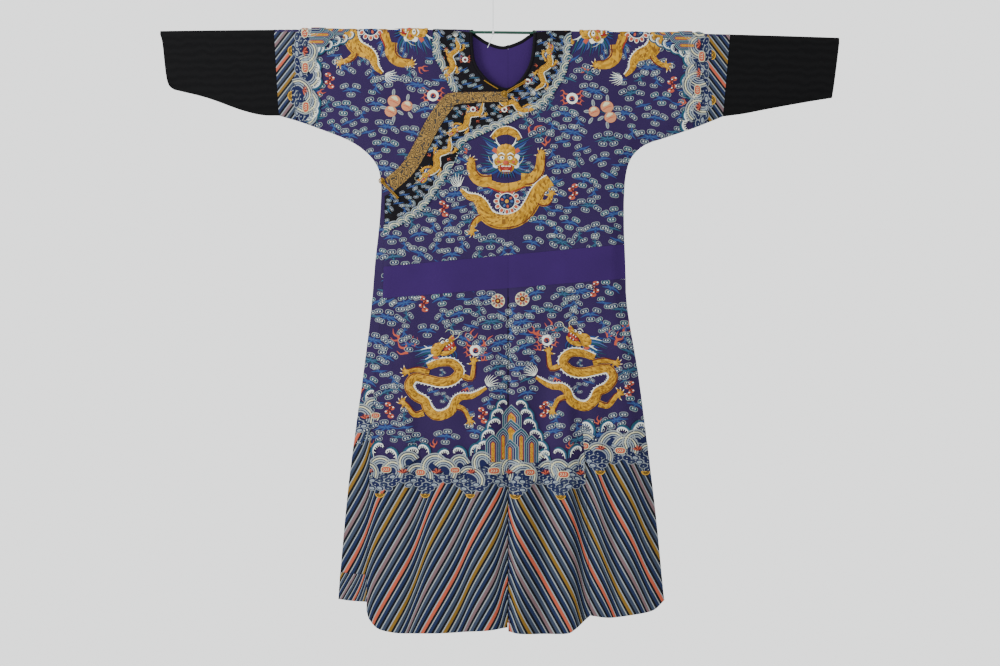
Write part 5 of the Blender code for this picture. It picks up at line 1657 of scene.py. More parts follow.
def drawn(x, s):
    """How far the folds draw the stripes across at a place, and how that changes with x."""
    share = (np.abs(s) - FLANKS_START) / FLANKS_LENGTH
    moved, slope = np.zeros_like(x), np.zeros_like(x)
    for flank in FLANKS:
        wave = FLANK_WAVE * np.sin(share * 5 + flank["top"] * 60)
        centre = flank["top"] + (flank["hem"] - flank["top"]) * share + wave
        reach = np.tanh((x - centre) / flank["width"])
        moved += flank["pull"] * reach
        slope += flank["pull"] / flank["width"] * (1 - reach**2)
    return moved, slope


def undrawn(x, s):
    return np.zeros_like(x), np.zeros_like(x)


def striped(outline, top, lean, flip=False, pitch=STRIPE_PITCH, draw=drawn):
    """Satin stripes that fill an outline where top says, each with a light and a dark edge."""
    work = Stitching(1.0)
    ring = densified(without_repeats(inset(without_repeats(outline), 0.0004)), STRIPE_RING_STEP)
    low, high = ring.min(0), ring.max(0)
    points, edges = ring.tolist(), []
    across = ring[:, 0] + draw(ring[:, 0], ring[:, 1])[0] - lean * ring[:, 1]
    first, last = math.floor(across.min() / pitch), math.ceil(across.max() / pitch)
    count = math.ceil((high[1] - low[1]) / STRIPE_ROW)
    heights = np.linspace(low[1] - 0.001, high[1] + 0.001, count + 1)
    shares = [(1 - share) % 1.0 for share in STRIPE_SHARES] if flip else STRIPE_SHARES
    for k in range(first, last + 1):
        for share in shares:
            start = len(points)
            target = (k + share) * pitch + lean * heights
            xs = target.copy()
            for _ in range(8):
                moved, slope = draw(xs, heights)
                xs -= (xs + moved - target) / (1 + slope)
            points += np.column_stack([xs, heights]).tolist()
            edges += [(start + i, start + i + 1) for i in range(count)]
    flat, faces = triangles_in(points, edges, len(ring))

    def unit_at(places):
        return (places[:, 0] + draw(places[:, 0], places[:, 1])[0] - lean * places[:, 1]) / pitch

    centres = flat[faces].mean(1)
    unit = np.floor(unit_at(centres)).astype(int)
    share = unit_at(centres) - unit
    share = 1 - share if flip else share
    order = np.array([THREAD_NAMES.index(name) for name in STRIPE_ORDER])
    thread = order[unit % len(order)]
    thread = np.where(share < STRIPE_SHARES[1], THREAD_NAMES.index("silver"), thread)
    thread = np.where(share > STRIPE_SHARES[2], THREAD_NAMES.index("navy"), thread)
    corner_share = unit_at(flat) % 1.0
    lift = 0.0002 + STRIPE_RISE * np.minimum(np.minimum(corner_share, 1 - corner_share) / STRIPE_SHARES[1], 1.0)
    keep = top(centres)
    work.add(np.column_stack([flat, lift]), faces[keep][:, ::-1], thread[keep], flat)
    return work


def scallop(x, height):
    """The sea's lower edge, a row of round lobes."""
    return height * (0.01 + 0.2 * abs(math.cos(x * math.pi / LOBE)) ** 1.5)


def wave_band(width, seed, height=120.0):
    """A band of sea in millimetres, its foot at y = 0 and centred on x = 0: scales, arches and foam."""
    rng = np.random.default_rng(seed)
    work = Stitching()
    half = width / 2
    ends = np.linspace(-half, half, math.ceil(width / 7))
    work.ribbon(
        np.column_stack([ends, np.full(len(ends), height * 0.44)]), [height * 0.46], "deep_blue", 0, crown=0.0,
        smooth=1, across=9,
    )
    shapes = {tint: scale_oval(tint) for tint in ("grey", "steel_blue", "slate", "deep_blue")}
    tints = list(shapes)
    for row in range(round(height * 0.58 / SCALE_STEP[1])):
        y = 4 + SCALE_STEP[1] * row
        for k in range(math.ceil(width / SCALE_STEP[0]) + 1):
            x = -half + SCALE_STEP[0] * k + (10 if row % 2 else 0) + rng.uniform(-1.0, 1.0)
            if y > scallop(x, height) and abs(x) < half:
                tilt = 0.25 * math.sin(x / 30.0 + row) + rng.uniform(-0.1, 0.1)
                motif = shapes[tints[rng.integers(4)]]
                work.place(motif, x, y + rng.uniform(-0.8, 0.8), turn=tilt, height=1 + 0.04 * (k % 2))
    crest = foam()
    for k in range(round(width / CREST_SPACING)):
        x = -half + CREST_SPACING * (k + 0.5) + rng.uniform(-6, 6)
        y = height * (0.8 + 0.05 * (k % 3))
        work.place(crest, x, y, rng.uniform(0.7, 0.95), rng.uniform(-0.3, 0.3), k % 2 == 1)
        if k % 4 == 1:
            work.place(flame(24), x + 20, height * 0.92, 0.9)
    for k, x in enumerate(np.arange(-half + 20, half - 14, ARCH_SPACING)):
        x = x + rng.uniform(-6, 6)
        y = height * (0.4 + 0.16 * (k % 2) + 0.06 * math.cos(x * math.tau / LOBE)) + rng.uniform(-4, 4)
        lifted = arch(60.0 + rng.uniform(-12, 10), 30.0 + rng.uniform(-3, 4))
        tilt = (0.55 if k % 2 else -0.45) + rng.uniform(-0.2, 0.2)
        work.place(lifted, x, y, turn=tilt, height=1.0 + 0.3 * (k % 3))
    disc, cup, fan = Stitching(), gold_cup(), Stitching()
    disc.oval(0, 0, 25, 16, "cream", 12, sides=14, crown=0.0001, square=0.7)
    disc.oval(0, 0, 22, 13, "coral", 13, sides=12, crown=0.0001, square=0.7)
    for x in (-5, 0, 5):
        disc.ribbon([(x - 2, -3), (x + 1, 0), (x - 1, 3)], [1.2], "cream", 14)
    for toe in range(6):
        turn = 0.3 + 0.5 * toe
        fan.ribbon([(0, 0), (9 * math.cos(turn), 9 * math.sin(turn)), (17 * math.cos(turn), 15 * math.sin(turn))],
                   [4, 5, 1], ("dark_red", "coral")[toe % 2], 12)
    for k in range(round(width / DISC_SPACING)):
        x = -half + DISC_SPACING * (k + 0.5) + rng.uniform(-14, 14)
        work.place(disc, x, height * 0.42 + rng.uniform(-6, 8), rng.uniform(0.85, 1.1))
        work.place(fan, x + 40, height * 0.42, 0.8)
    for k in range(-round(half / LOBE), round(half / LOBE) + 1):
        work.place(cup, LOBE * (k + 0.5), 0, 0.9)
    return work


class Robe:
    """The robe's shared drawing: outlines, and the one great piece of needlework that its panels share."""

    def __init__(self):
        self.halves = {side: half_outline(side) for side in ("left", "right")}
        self.overlap = overlap_outline()
        self.skirts = skirt_outlines()
        self.facings = facing_outlines()
        self.clouds = Clouds()

    def field(self):
        """Clouds, dragons and small motifs over front and back."""
        work = Stitching()
        placed = []
        motifs = {"peach": peach(), "pearl": pearl(), "bat": bat(), "medallion": medallion()}
        chest, walking = chest_dragon(), walking_dragon()

        def put(motif, x, z, reach, mirror=False):
            for back in (False, True):
                s = -down_at(x, z) if back else down_at(x, z)
                work.stamp(motif, x, s, mirror=mirror, up=1.0 if back else -1.0)
                if reach:
                    placed.append((x, s, *reach))

        put(chest, *CHEST_PLACE, None)
        for x, z, mirror in WALKING_PLACES:
            put(walking, x, z, WALKING_REACH, mirror)
        for x, turn, mirror in SHOULDER_PLACES:
            work.stamp(chest, x, 0.0, 1.0, turn, mirror)
            placed.append((x + math.copysign(DRAGON_MIDDLE, x), 0.0, *SHOULDER_REACH))
        for name, places in SMALL_MOTIFS.items():
            for x, z in places:
                put(motifs[name], x, z, PEACH_REACH if name == "peach" else SMALL_REACH, x > 0)
        for sign in (1, -1):
            chest_s = sign * down_at(CHEST_PLACE[0], CHEST_PLACE[1] - DRAGON_MIDDLE)
            placed.append((CHEST_PLACE[0], chest_s, *CHEST_REACH))
            placed.append((MOUNTAIN_X, sign * down_at(0.0, PEAKS_Z), *PEAKS_REACH))
        covered = [outline for outline, _ in self.facings.values()]
        panels = [self.halves["left"], self.halves["right"], self.overlap]
        panels += [outline for outline, _ in self.skirts.values()]
        for number, outline in enumerate(panels):
            hidden = [self.overlap, self.skirts["right_overlap_skirt"][0]] if number == 1 else []
            self.clouds.fill(work, outline, placed, FIRST_SEED + number, covered + hidden)
        return work


ROBE = Robe()


def solid_rod():
    """Green lacquer with long streaks and small scuffs."""
    finish = Finish("rod_lacquer", 0.28)
    streak = finish.noise(60.0, 4.0)
    finish.colour(finish.mix(streak, linear((3, 32, 24)), linear((8, 56, 42))))
    finish.roughness(0.22 + finish.noise(220.0) * 0.2)
    finish.bump(finish.noise(300.0), 0.0001, 0.5)
    return finish.material


def cord_finish():
    finish = Finish("cord_fibre", 0.6)
    fibre = finish.noise(900.0, 3.0)
    finish.colour(finish.mix(fibre, linear((150, 156, 156)), linear((186, 190, 190))))
    finish.bump(fibre, 0.0001, 0.6)
    return finish.material


def metal_finish():
    finish = Finish("drawn_metal", 0.32, 1.0)
    grain = finish.noise(700.0, 3.0)
    finish.colour(finish.mix(grain, linear((150, 152, 155)), linear((186, 188, 190))))
    finish.roughness(0.26 + grain * 0.16)
    finish.bump(grain, 0.00005, 0.5)
    return finish.material


def brocade_finish():
    """Gold brocade: a close scroll in dark thread on flat metal thread."""
    finish = Finish("gold_brocade", 0.46, 0.3)
    across, _ = finish.coordinates()
    worm = (finish.noise(75.0, 0.0) * 20.0).sine().size()
    figure = ((worm - 0.42) * 2.6).at_least(0.0).at_most(1.0)
    worn = finish.noise(40.0, 4.0) * 0.5 + finish.noise(500.0) * 0.3
    share = (figure * 0.9 + worn * 0.3 - 0.1).at_most(1.0)
    finish.colour(finish.mix(share, linear((18, 13, 5)), linear((108, 81, 25))))
    finish.roughness(0.4 + worn * 0.2)
    finish.bump(figure + (across * (math.tau / BROCADE_PITCH)).sine() * 0.2, 0.0004, 0.9)
    return finish.material


def floor_finish():
    finish = Finish("floor_matte", 0.9)
    finish.colour(finish.mix(finish.noise(3.0), linear((214, 214, 212)), linear((222, 222, 220))))
    return finish.material


def square_to(normals, tangent):
    """Normals turned square to a line's direction."""
    return normalised(normals - (normals * tangent).sum(1)[:, None] * tangent)


def swept(name, points, normals, profile, material, slot="gold_cord", closed=False):
    """A solid of constant cross-section along a line, closed at its ends. The profile is (across, out)."""
    points, profile = np.array(points), np.array(profile)
    tangent = np.roll(points, -1, axis=0) - np.roll(points, 1, axis=0) if closed else np.gradient(points, axis=0)
    tangent = normalised(tangent)
    normals = square_to(normals, tangent)
    side = np.cross(normals, tangent)
    rings = points[:, None] + side[:, None] * profile[None, :, :1] + normals[:, None] * profile[None, :, 1:]
    n, m = len(points), len(profile)
    spans = n if closed else n - 1
    i, j = np.meshgrid(np.arange(spans), np.arange(m), indexing="ij")
    i, j = i.ravel(), j.ravel()
    a, b = i * m + j, i * m + (j + 1) % m
    c, d = ((i + 1) % n) * m + (j + 1) % m, ((i + 1) % n) * m + j
    faces = [np.stack([a, b, c], 1), np.stack([a, c, d], 1)]
    every = rings.reshape(-1, 3)
    if not closed:
        fan = np.arange(1, m - 1)
        faces.append(np.stack([np.zeros_like(fan), fan + 1, fan], 1))
        faces.append(np.stack([np.zeros_like(fan), fan, fan + 1], 1) + (n - 1) * m)
    faces = np.vstack(faces)
    corners = every[faces]
    volume = np.einsum("ij,ij->i", corners[:, 0], np.cross(corners[:, 1], corners[:, 2])).sum()
    if volume < 0:
        faces = faces[:, ::-1]
    length = lengths_along(points)
    girth = np.linspace(0, 0.01, m)
    uvs = np.stack(np.broadcast_arrays(length[:, None], girth[None]), -1).reshape(-1, 2)
    return make_object(name, every, faces, [material], None, uvs, slot, sharp=50.0)


def round_profile(radius, sides=10):
    angles = np.arange(sides) * math.tau / sides
    return np.stack([np.cos(angles), np.sin(angles)], 1) * radius


def braided(name, points, normals, radius, material, strands=2, turns_per_metre=BRAID_TWIST):
    """A twisted cord: strands wound round one another along a line."""
    points = np.array(points)
    tangent = normalised(np.gradient(points, axis=0))
    normals = square_to(normals, tangent)
    side = np.cross(tangent, normals)
    length = lengths_along(points)
    made, profile = [], round_profile(radius * STRAND_SHARE, 8)
    for k in range(strands):
        turn = length * turns_per_metre * math.tau + math.tau * k / strands
        wound = points + (side * np.cos(turn)[:, None] + normals * np.sin(turn)[:, None]) * radius * WINDING_SHARE
        made.append(swept(f"{name}_strand_{k + 1}", wound, normals, profile, material))
    return made


def facing_front(path):
    """A normal towards the front at each point of a line."""
    return np.array([[0.0, -1.0, 0.0]] * len(path))


def finer_line(points, step):
    """A smooth line through some points of the space, about a step apart."""
    points = np.array(points, float)
    curve = smooth_curve(points, 12)
    length = lengths_along(curve)
    places = np.linspace(0, length[-1], max(4, math.ceil(length[-1] / step)))
    return np.stack([np.interp(places, length, curve[:, i]) for i in range(3)], 1)


def joined(name, objects, *nodes, slot="gold_cord"):
    """Several meshes made one piece, in place of some nodes."""
    points, faces, count, materials = [], [], 0, [objects[0].data.materials[0]]
    uvs = []
    for obj in objects:
        mesh = obj.data
        co = np.empty(len(mesh.vertices) * 3, np.float32)
        mesh.vertices.foreach_get("co", co)
        index = np.empty(len(mesh.loops), np.int32)
        mesh.loops.foreach_get("vertex_index", index)
        points.append(co.reshape(-1, 3))
        faces.append(index.reshape(-1, 3) + count)
        uvs.append(co.reshape(-1, 3)[:, [0, 2]])
        count += len(mesh.vertices)
        bpy.data.objects.remove(obj)
    obj = make_object(name, np.vstack(points), np.vstack(faces), materials, None, np.vstack(uvs), slot)
    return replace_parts(obj, *nodes)


# Operators


class RobeColours(bpy.types.PropertyGroup):
    ground: bpy.props.FloatVectorProperty(
        name="Ground", description="Colour of the purple silk", subtype="COLOR", default=linear((33, 21, 55))
    )
    lining: bpy.props.FloatVectorProperty(
        name="Lining", description="Colour of the lining and waist band", subtype="COLOR",
        default=linear((38, 18, 66)),
    )
    facing: bpy.props.FloatVectorProperty(
        name="Facing", description="Colour of the dark facing", subtype="COLOR", default=linear((8, 6, 11))
    )


class RobeSizes(bpy.types.PropertyGroup):
    camera_distance: bpy.props.FloatProperty(
        name="Camera distance", description="From the camera to the robe", unit="LENGTH", default=4.5
    )


def colours():
    return bpy.context.scene.robe_colours


def sizes():
    return bpy.context.scene.robe_sizes


def robe_silk(name, chosen, shade, **weave):
    """A silk in one of the chosen colours, mottled with a darker shade of it."""
    colour = tuple(getattr(colours(), chosen))
    return bpy.data.materials.get(name) or silk(name, colour, tuple(shade * c for c in colour), **weave)


def ground_silk():
    return robe_silk("purple_silk_woven", "ground", 0.74)


def lining_silk():
    return robe_silk("plain_purple_woven", "lining", 0.78, ribs=0.0012)


def facing_silk():
    return robe_silk("dark_facing_woven", "facing", 0.6)


class ROBE_OT_hang(bpy.types.Operator):
    """Make the camera, the hanging cord and its knot, and finish the rod and the fitting"""

    bl_idname = "robe.hang"
    bl_label = "Camera, cord and rod"

    def execute(self, context):
        distance = sizes().camera_distance
        data = bpy.data.cameras.new("photo_camera")
        data.sensor_width = SENSOR_WIDTH
        data.lens = data.sensor_width * distance / FRAME_WIDTH
        camera = bpy.data.objects.new("photo_camera", data)
        camera.location = (FRAME_CENTRE[0], -distance, FRAME_CENTRE[1])
        camera.rotation_euler = (math.pi / 2, 0.0, 0.0)
        context.scene.collection.objects.link(camera)
        context.scene.camera = camera

        fibre = cord_finish()
        top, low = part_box("hanging_cord")[1].z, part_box("hanging_cord")[0].z
        route = np.array([(0.0, 0.0, top + (low - top) * i / CORD_SPANS) for i in range(CORD_SPANS + 1)])
        strands = braided("cord", route, facing_front(route), CORD_RADIUS, fibre, 3, CORD_TWIST)
        cord = joined("twisted_cord", strands, "hanging_cord", slot="hanging_cord")
        self.knot(fibre)
        for node, finish in (("rod", solid_rod()), ("hanging_fitting", metal_finish())):
            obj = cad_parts[node]
            obj.data.materials.clear()
            obj.data.materials.append(finish)
        return {"FINISHED"}

    def knot(self, fibre):
        """Two turns of cord round the rod, and the free tail."""
        radius = ROD_RADIUS + SEAM + CORD_RADIUS
        turns = np.linspace(0, KNOT_TURNS * math.tau, 96)
        centre = rod_z(0.0)
        across = KNOT_HALF_WIDTH * (turns / turns[-1] - 0.5) * 2
        outward = np.stack([0 * turns, np.sin(turns), np.cos(turns)], 1)
        coil = np.stack([across, radius * np.sin(turns), centre + radius * np.cos(turns)], 1)
        made = [swept("knot_turns", coil, outward, round_profile(CORD_RADIUS * 0.95), fibre)]
        joined("cord_turns", made, "cord_knot", slot="hanging_cord")
        low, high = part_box("cord_tail")
        start = (high.x - TAIL_RADIUS, high.y - TAIL_RADIUS, high.z)
        end = (low.x + TAIL_RADIUS, low.y + TAIL_RADIUS, low.z + 0.0006)
        tail = finer_line([start, (-0.004, -0.001, -0.121), (-0.008, -0.003, -0.133), end], PLY_STEP)
        strands = braided("tail", tail, facing_front(tail), TAIL_RADIUS, fibre, 2, TAIL_TWIST)
        joined("cord_free_end", strands, "cord_tail", slot="hanging_cord")


class ROBE_OT_cloth(bpy.types.Operator):
    """Cut and hang the robe's cloth: halves, overlap, waist band, skirt panels and sleeves"""

    bl_idname = "robe.cloth"
    bl_label = "Cloth"

    def execute(self, context):
        ground, lining = ground_silk(), lining_silk()
        fronts = {"left": ("left_front_bodice", left_front_depth), "right": ("right_inner_front", inner_depth)}
        for side, (node, depth) in fronts.items():
            nodes = [node, f"{side}_back_bodice"]
            cloth(f"{side}_half", ROBE.halves[side], depth, ground, lining, "purple_silk", nodes, "rod")
        silks = (ground, lining, "purple_silk")
        cloth("overlap_bodice", ROBE.overlap, overlap_depth, *silks, ["right_overlap_bodice"], "right_half")

        left, right = waist_edge(WAIST_TOP, "left")[0], waist_edge(WAIST_TOP, "right")[0]
        low_left, low_right = waist_edge(WAIST_BOTTOM, "left")[0], waist_edge(WAIST_BOTTOM, "right")[0]
        free, low_free = OVERLAP_SIDE[-1][0], SKIRT_FREE_EDGE[0][0]
        bands = {
            "left_front_waist": ((CENTRE_X, left, CENTRE_X, low_left), left_front_depth, False, "left_half"),
            "right_overlap_waist": ((free, CENTRE_X, low_free, CENTRE_X), overlap_depth, False, "overlap_bodice"),
            "left_back_waist": ((CENTRE_X, left, CENTRE_X, low_left), back_depth, True, "left_half"),
            "right_back_waist": ((right, CENTRE_X, low_right, CENTRE_X), back_depth, True, "right_half"),
        }
        for node, (ends, depth, back, above) in bands.items():
            outline = waist_outline(*ends, back)
            cloth(f"{node}_band", outline, depth, lining, lining, "plain_purple", [node], above)
        for node, (outline, depth) in ROBE.skirts.items():
            side = node.split("_")[0]
            place = "back" if "back" in node else "overlap" if "overlap" in node else "front"
            above = f"{side}_{place}_waist_band"
            cloth(f"{node}_panel", outline, depth, ground, lining, "striped_silk", [node], above, SKIRT_STEP)
        black = ribbed_black()
        for side, depth in (("left", left_front_depth), ("right", inner_depth)):
            nodes = [f"{side}_sleeve_front", f"{side}_sleeve_back"]
            cloth(f"{side}_lower_sleeve", sleeve_outline(side), depth, black, lining, "black_cloth", nodes, "rod")
        return {"FINISHED"}


class ROBE_OT_trims(bpy.types.Operator):
    """Lay on the facings, the brocade border, the hem band and the neck binding"""

    bl_idname = "robe.trims"
    bl_label = "Facings, border and binding"

    def execute(self, context):
        dark, gold = facing_silk(), brocade_finish()
        resting = {"collar_facing_left": "left_half", "collar_facing_right": "right_half",
                   "collar_facing_back": "left_half", "overlap_facing": "overlap_bodice",
                   "overlap_border": "overlap_bodice"}
        for node, (outline, depth) in ROBE.facings.items():
            finish = gold if node == "overlap_border" else dark
            slot = "gold_brocade" if node == "overlap_border" else "dark_facing"
            facts = (slot, [node], resting[node], FACING_STEP)
            cloth(f"{node}_cloth", outline, depth, finish, dark, *facts, **LAID_ON)
        facts = (ground_silk(), lining_silk(), "striped_silk", ["inner_front_hem_band"], "right_half", HEM_BAND_STEP)
        cloth("inner_hem_band", inner_band_outline(), inner_depth, *facts, **LAID_ON)
        self.binding(dark)
        self.centre_seams()
        return {"FINISHED"}

    def centre_seams(self):
        """Seam allowances behind the centre seams and slits, front and back, black as painted shade; a painted shadow
        line down each slit.
        """
        top = down_at(CENTRE_X, NECK_FOOT_Z)
        for place, depth, hem in (("front", left_front_depth, SKIRT_FREE_HEM), ("back", back_depth, BACK_HEM["left"])):
            bottom = down_at(CENTRE_X, hem[-1][1] + 0.006)
            sign = -1.0 if place == "back" else 1.0
            heights = np.arange(top, bottom, 0.006)
            work = Stitching(1.0)
            path = np.column_stack([np.full(len(heights), CENTRE_X), heights * sign])
            # The allowance is black as painted shade, seen through the seam and the slit
            work.ribbon(path, [SEAM_ALLOWANCE_SHADE], "black", 0, crown=0.0, smooth=1, across=3)
            everywhere = [(-1.0, -2.0), (1.0, -2.0), (1.0, 2.0), (-1.0, 2.0)]
            sew(f"centre_seam_{place}", work, depth, everywhere, lift=-CLOTH - LAYER_GAP, slot="purple_silk")
            # A black line over the cloth down each slit: painted shadow of the slit's edge
            shadow_work = Stitching(1.0)
            skirt = path[heights > down_at(CENTRE_X, SLIT_TOP_Z)]
            shadow_work.ribbon(skirt, [SLIT_SHADOW_LINE], "black", 0, crown=0.0, smooth=1)
            sew(f"centre_line_{place}", shadow_work, depth, everywhere, lift=STRIPE_RISE, slot="purple_silk")

    def binding(self, dark):
        """A rolled binding round the neck, in the three lengths that the layers need."""
        limit = down_at(0.0, OVERLAP_EDGE[0]["z"]) - LAYER_GAP
        left, right = neck_arc("left", BINDING_WIDTH / 2), neck_arc("right", BINDING_WIDTH / 2)
        right_front = right[(right[:, 1] >= 0) & (right[:, 1] < limit)]
        lengths = {
            "left": (left[left[:, 1] >= 0], left_front_depth),
            "right": (right_front, inner_depth),
            "back": (np.vstack([left[left[:, 1] <= 0], right[right[:, 1] <= 0][::-1][1:]]), back_depth),
        }
        half = BINDING_WIDTH / 2 + BINDING_OVERHANG
        profile = round_profile(1.0, 14) * (half, BINDING_HALF_THICKNESS)
        for place, (run, depth) in lengths.items():
            run = without_repeats(run)
            run = np.vstack([run[:1], *(line(a, b, BINDING_STEP)[1:] for a, b in zip(run[:-1], run[1:]))])
            points = on_cloth(depth, run[:, 0], run[:, 1], BINDING_LIFT)
            normals = on_cloth(depth, run[:, 0], run[:, 1], 0.01) - points
            obj = swept(f"neck_binding_roll_{place}", points, normals, profile, dark, slot="dark_facing")
            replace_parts(obj, f"neck_binding_{place}")


class ROBE_OT_fastenings(bpy.types.Operator):
    """Make the ball buttons and the gold cord loops"""

    bl_idname = "robe.fastenings"
    bl_label = "Buttons and loops"

    def execute(self, context):
        gold = thread_finish("gold_braid", (118, 88, 26), 0.42, 0.2)
        for place, depth in (("neck", left_front_depth), ("side", overlap_depth)):
            low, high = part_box(f"{place}_button")
            centre = np.array((low + high) / 2)
            radius = (high.x - low.x) / 2
            self.ball(f"{place}_ball", centre, radius, gold, f"{place}_button")
            self.loop(place, depth, np.array(LOOP_FEET[place]), centre, radius, gold)
        stem = finer_line(on_cloth_path(inner_depth, NECK_STEM, CLOSURE_LIFT), PLY_STEP)
        joined("neck_stem_cord", braided("stem", stem, facing_front(stem), LOOP_RADIUS, gold), "neck_stem")
        return {"FINISHED"}

    def ball(self, name, centre, radius, gold, node):
        """A knotted ball: bands of cord crossing one another round its middle."""
        made = []
        for k, tilt in enumerate((0.0, math.pi / 3, 2 * math.pi / 3)):
            turns = np.linspace(0, math.tau, 40, endpoint=False)
            axis = np.array((math.cos(tilt), 0.0, math.sin(tilt)))
            other = np.array((-math.sin(tilt), 0.0, math.cos(tilt)))
            for shift in (-0.45, 0.0, 0.45):
                span = math.sqrt(1 - shift**2)
                flat = (np.cos(turns)[:, None] * axis + np.sin(turns)[:, None] * (0.0, 1.0, 0.0)) * span
                path = centre + (flat + other * shift) * radius * 0.8
                profile = round_profile(radius * 0.2, 6)
                outward = normalised(path - centre)
                made.append(swept(f"{name}_{k}_{shift}", path, outward, profile, gold, closed=True))
        joined(name, made, node)

    def loop(self, place, depth, foot, centre, ball_radius, gold):
        """A loop of cord whose two legs cross the cloth from their foot and go round the ball."""
        head = centre[[0, 2]]
        along = normalised(head - foot)
        side = left_of(along)
        radius = ball_radius + SEAM + LOOP_RADIUS
        half_gap = LOOP_RADIUS + SEAM
        opening = math.asin(half_gap / radius)
        angles = np.linspace(-math.pi + opening, math.pi - opening, 14)
        ring = [head + along * radius * math.cos(a) + side * radius * math.sin(a) for a in angles]
        legs = []
        for turn, end in ((-1, ring[0]), (1, ring[-1])):
            start = foot + side * half_gap * turn
            places = [start + (end - start) * share for share in (0.0, 0.3, 0.6, 0.85)]
            lifted = on_cloth_path(depth, places, CLOSURE_LIFT)
            target = np.array((end[0], centre[1], end[1]))
            legs.append([p + (target - p) * share for p, share in zip(lifted, (0.0, 0.0, 0.15, 0.6))])
        route = legs[0] + [np.array((x, centre[1], z)) for x, z in ring] + legs[1][::-1]
        path = finer_line(route, PLY_STEP)
        strands = braided(f"{place}_loop", path, facing_front(path), LOOP_RADIUS, gold)
        joined(f"{place}_loop_cord", strands, f"{place}_loop")


class ROBE_OT_embroider(bpy.types.Operator):
    """Sew the clouds, dragons and small motifs on every panel"""

    bl_idname = "robe.embroider"
    bl_label = "Field embroidery"

    def execute(self, context):
        work = ROBE.field()
        hidden = inset(without_repeats(ROBE.overlap), COVERED_MARGIN)
        hidden_skirt = inset(without_repeats(ROBE.skirts["right_overlap_skirt"][0]), COVERED_MARGIN)
        facings = [inset(without_repeats(outline), COVERED_MARGIN / 2) for outline, _ in ROBE.facings.values()]

        def uncovered(centres):
            clear = np.ones(len(centres), bool)
            for outline in facings:
                clear &= ~inside(centres, outline)
            return clear

        def shows(centres):
            return uncovered(centres) & ~inside(centres, hidden) & ~inside(centres, hidden_skirt)

        sew("left_half_embroidery", work, left_front_depth, ROBE.halves["left"], keep=uncovered)
        sew("right_half_embroidery", work, inner_depth, ROBE.halves["right"], keep=shows)
        sew("overlap_embroidery", work, overlap_depth, ROBE.overlap, keep=uncovered)
        for node, (outline, depth) in ROBE.skirts.items():
            sew(f"{node}_embroidery", work, depth, outline)
        return {"FINISHED"}


class ROBE_OT_bands(bpy.types.Operator):
    """Sew the stripes, the sea bands and the mountains on the skirt and the sleeves"""

    bl_idname = "robe.bands"
    bl_label = "Stripes, sea and mountains"

    def execute(self, context):
        sea = wave_band(760, 3)
        gore_sea = wave_band(280, 5)
        peaks = mountains()
        for node, (outline, depth) in ROBE.skirts.items():
            back = "back" in node
            up = 1.0 if back else -1.0
            rise = GORE_RISE if "gore" in node else 0.0
            lean = STRIPE_LEAN * (-1 if node.startswith("right") else 1) * (-1 if back else 1)
            top_s = -up * down_at(BAND_X, STRIPE_TOP_Z + STRIPE_OVER_SEA + rise)

            def below(centres, top_s=top_s):
                return np.abs(centres[:, 1]) > abs(top_s)

            flip = not node.startswith("right")
            sew(f"{node}_stripes", striped(outline, below, lean, flip=flip), depth, outline, slot="striped_silk")
            band = Stitching()
            foot = -up * down_at(BAND_X, STRIPE_TOP_Z - SEA_UNDER_STRIPE + rise)
            if rise:
                band.stamp(gore_sea, GORE_SEA_X, foot, up=up)
            else:
                band.stamp(peaks, MOUNTAIN_X, -up * down_at(BAND_X, WAVE_TOP_Z - PEAKS_UNDER_WAVE), up=up)
                band.stamp(sea, 0.0, foot, up=up)
            sew(f"{node}_sea", band, depth, outline, lift=STRIPE_RISE, slot="striped_silk")
        self.inner_flap()
        self.sleeves()
        return {"FINISHED"}

    def inner_flap(self):
        """The strip of the inner front that shows beside the overlap."""
        outline = ROBE.halves["right"]
        top_s = down_at(INNER_SEA_X, INNER_STRIPE_TOP_Z)
        low_s = down_at(INNER_SEA_X, INNER_HEM[0][1] + INNER_HEM_BAND_HEIGHT)

        def below(centres):
            x, s = centres.T
            return (s > top_s) & (s < low_s + INNER_OVERRUN) & (x < INNER_SHOWS_TO)

        work = striped(outline, below, -STRIPE_LEAN)
        sew("inner_front_stripes", work, inner_depth, outline, slot="striped_silk")
        band = Stitching()
        band.stamp(wave_band(200, 9), INNER_SEA_X, top_s + INNER_SEA_DOWN, up=-1.0)
        free = laid(SKIRT_FREE_EDGE).max(0)[0]
        sew("inner_front_sea", band, inner_depth, outline, lift=STRIPE_RISE, slot="striped_silk",
            keep=lambda centres: centres[:, 0] < free)
        band_outline = inner_band_outline()
        work = striped(band_outline, lambda centres: centres[:, 1] > 0, -STRIPE_LEAN, pitch=HEM_BAND_PITCH)
        sew("inner_hem_band_stripes", work, inner_depth, band_outline, slot="striped_silk", **LAID_ON)

    def sleeves(self):
        """Stripes and a sea band across the end of each upper sleeve, front and back."""
        sea, peaks = wave_band(460, 7, height=66.0), mountains()
        for side, sign, depth in (("left", 1, left_front_depth), ("right", -1, inner_depth)):
            outline = ROBE.halves[side]
            start = SLEEVE_STRIPE_STARTS[side]

            def beyond(centres):
                return centres[:, 0] * sign > start * sign

            work = striped(
                outline, beyond, SLEEVE_STRIPE_LEAN * sign, flip=sign > 0, pitch=SLEEVE_STRIPE_PITCH, draw=undrawn
            )
            sew(f"{side}_sleeve_stripes", work, depth, outline, slot="striped_silk")
            band = Stitching()
            band.stamp(peaks, start - sign * SLEEVE_PEAKS_IN, 0.0, SLEEVE_PEAK_SIZE, turn=sign * math.pi / 2)
            band.stamp(sea, start + sign * SLEEVE_SEA_OUT, 0.0, turn=sign * math.pi / 2)
            sew(f"{side}_sleeve_sea", band, depth, outline, lift=STRIPE_RISE, slot="striped_silk",
                keep=lambda centres: np.abs(centres[:, 0]) > SLEEVE_SEA_FROM)


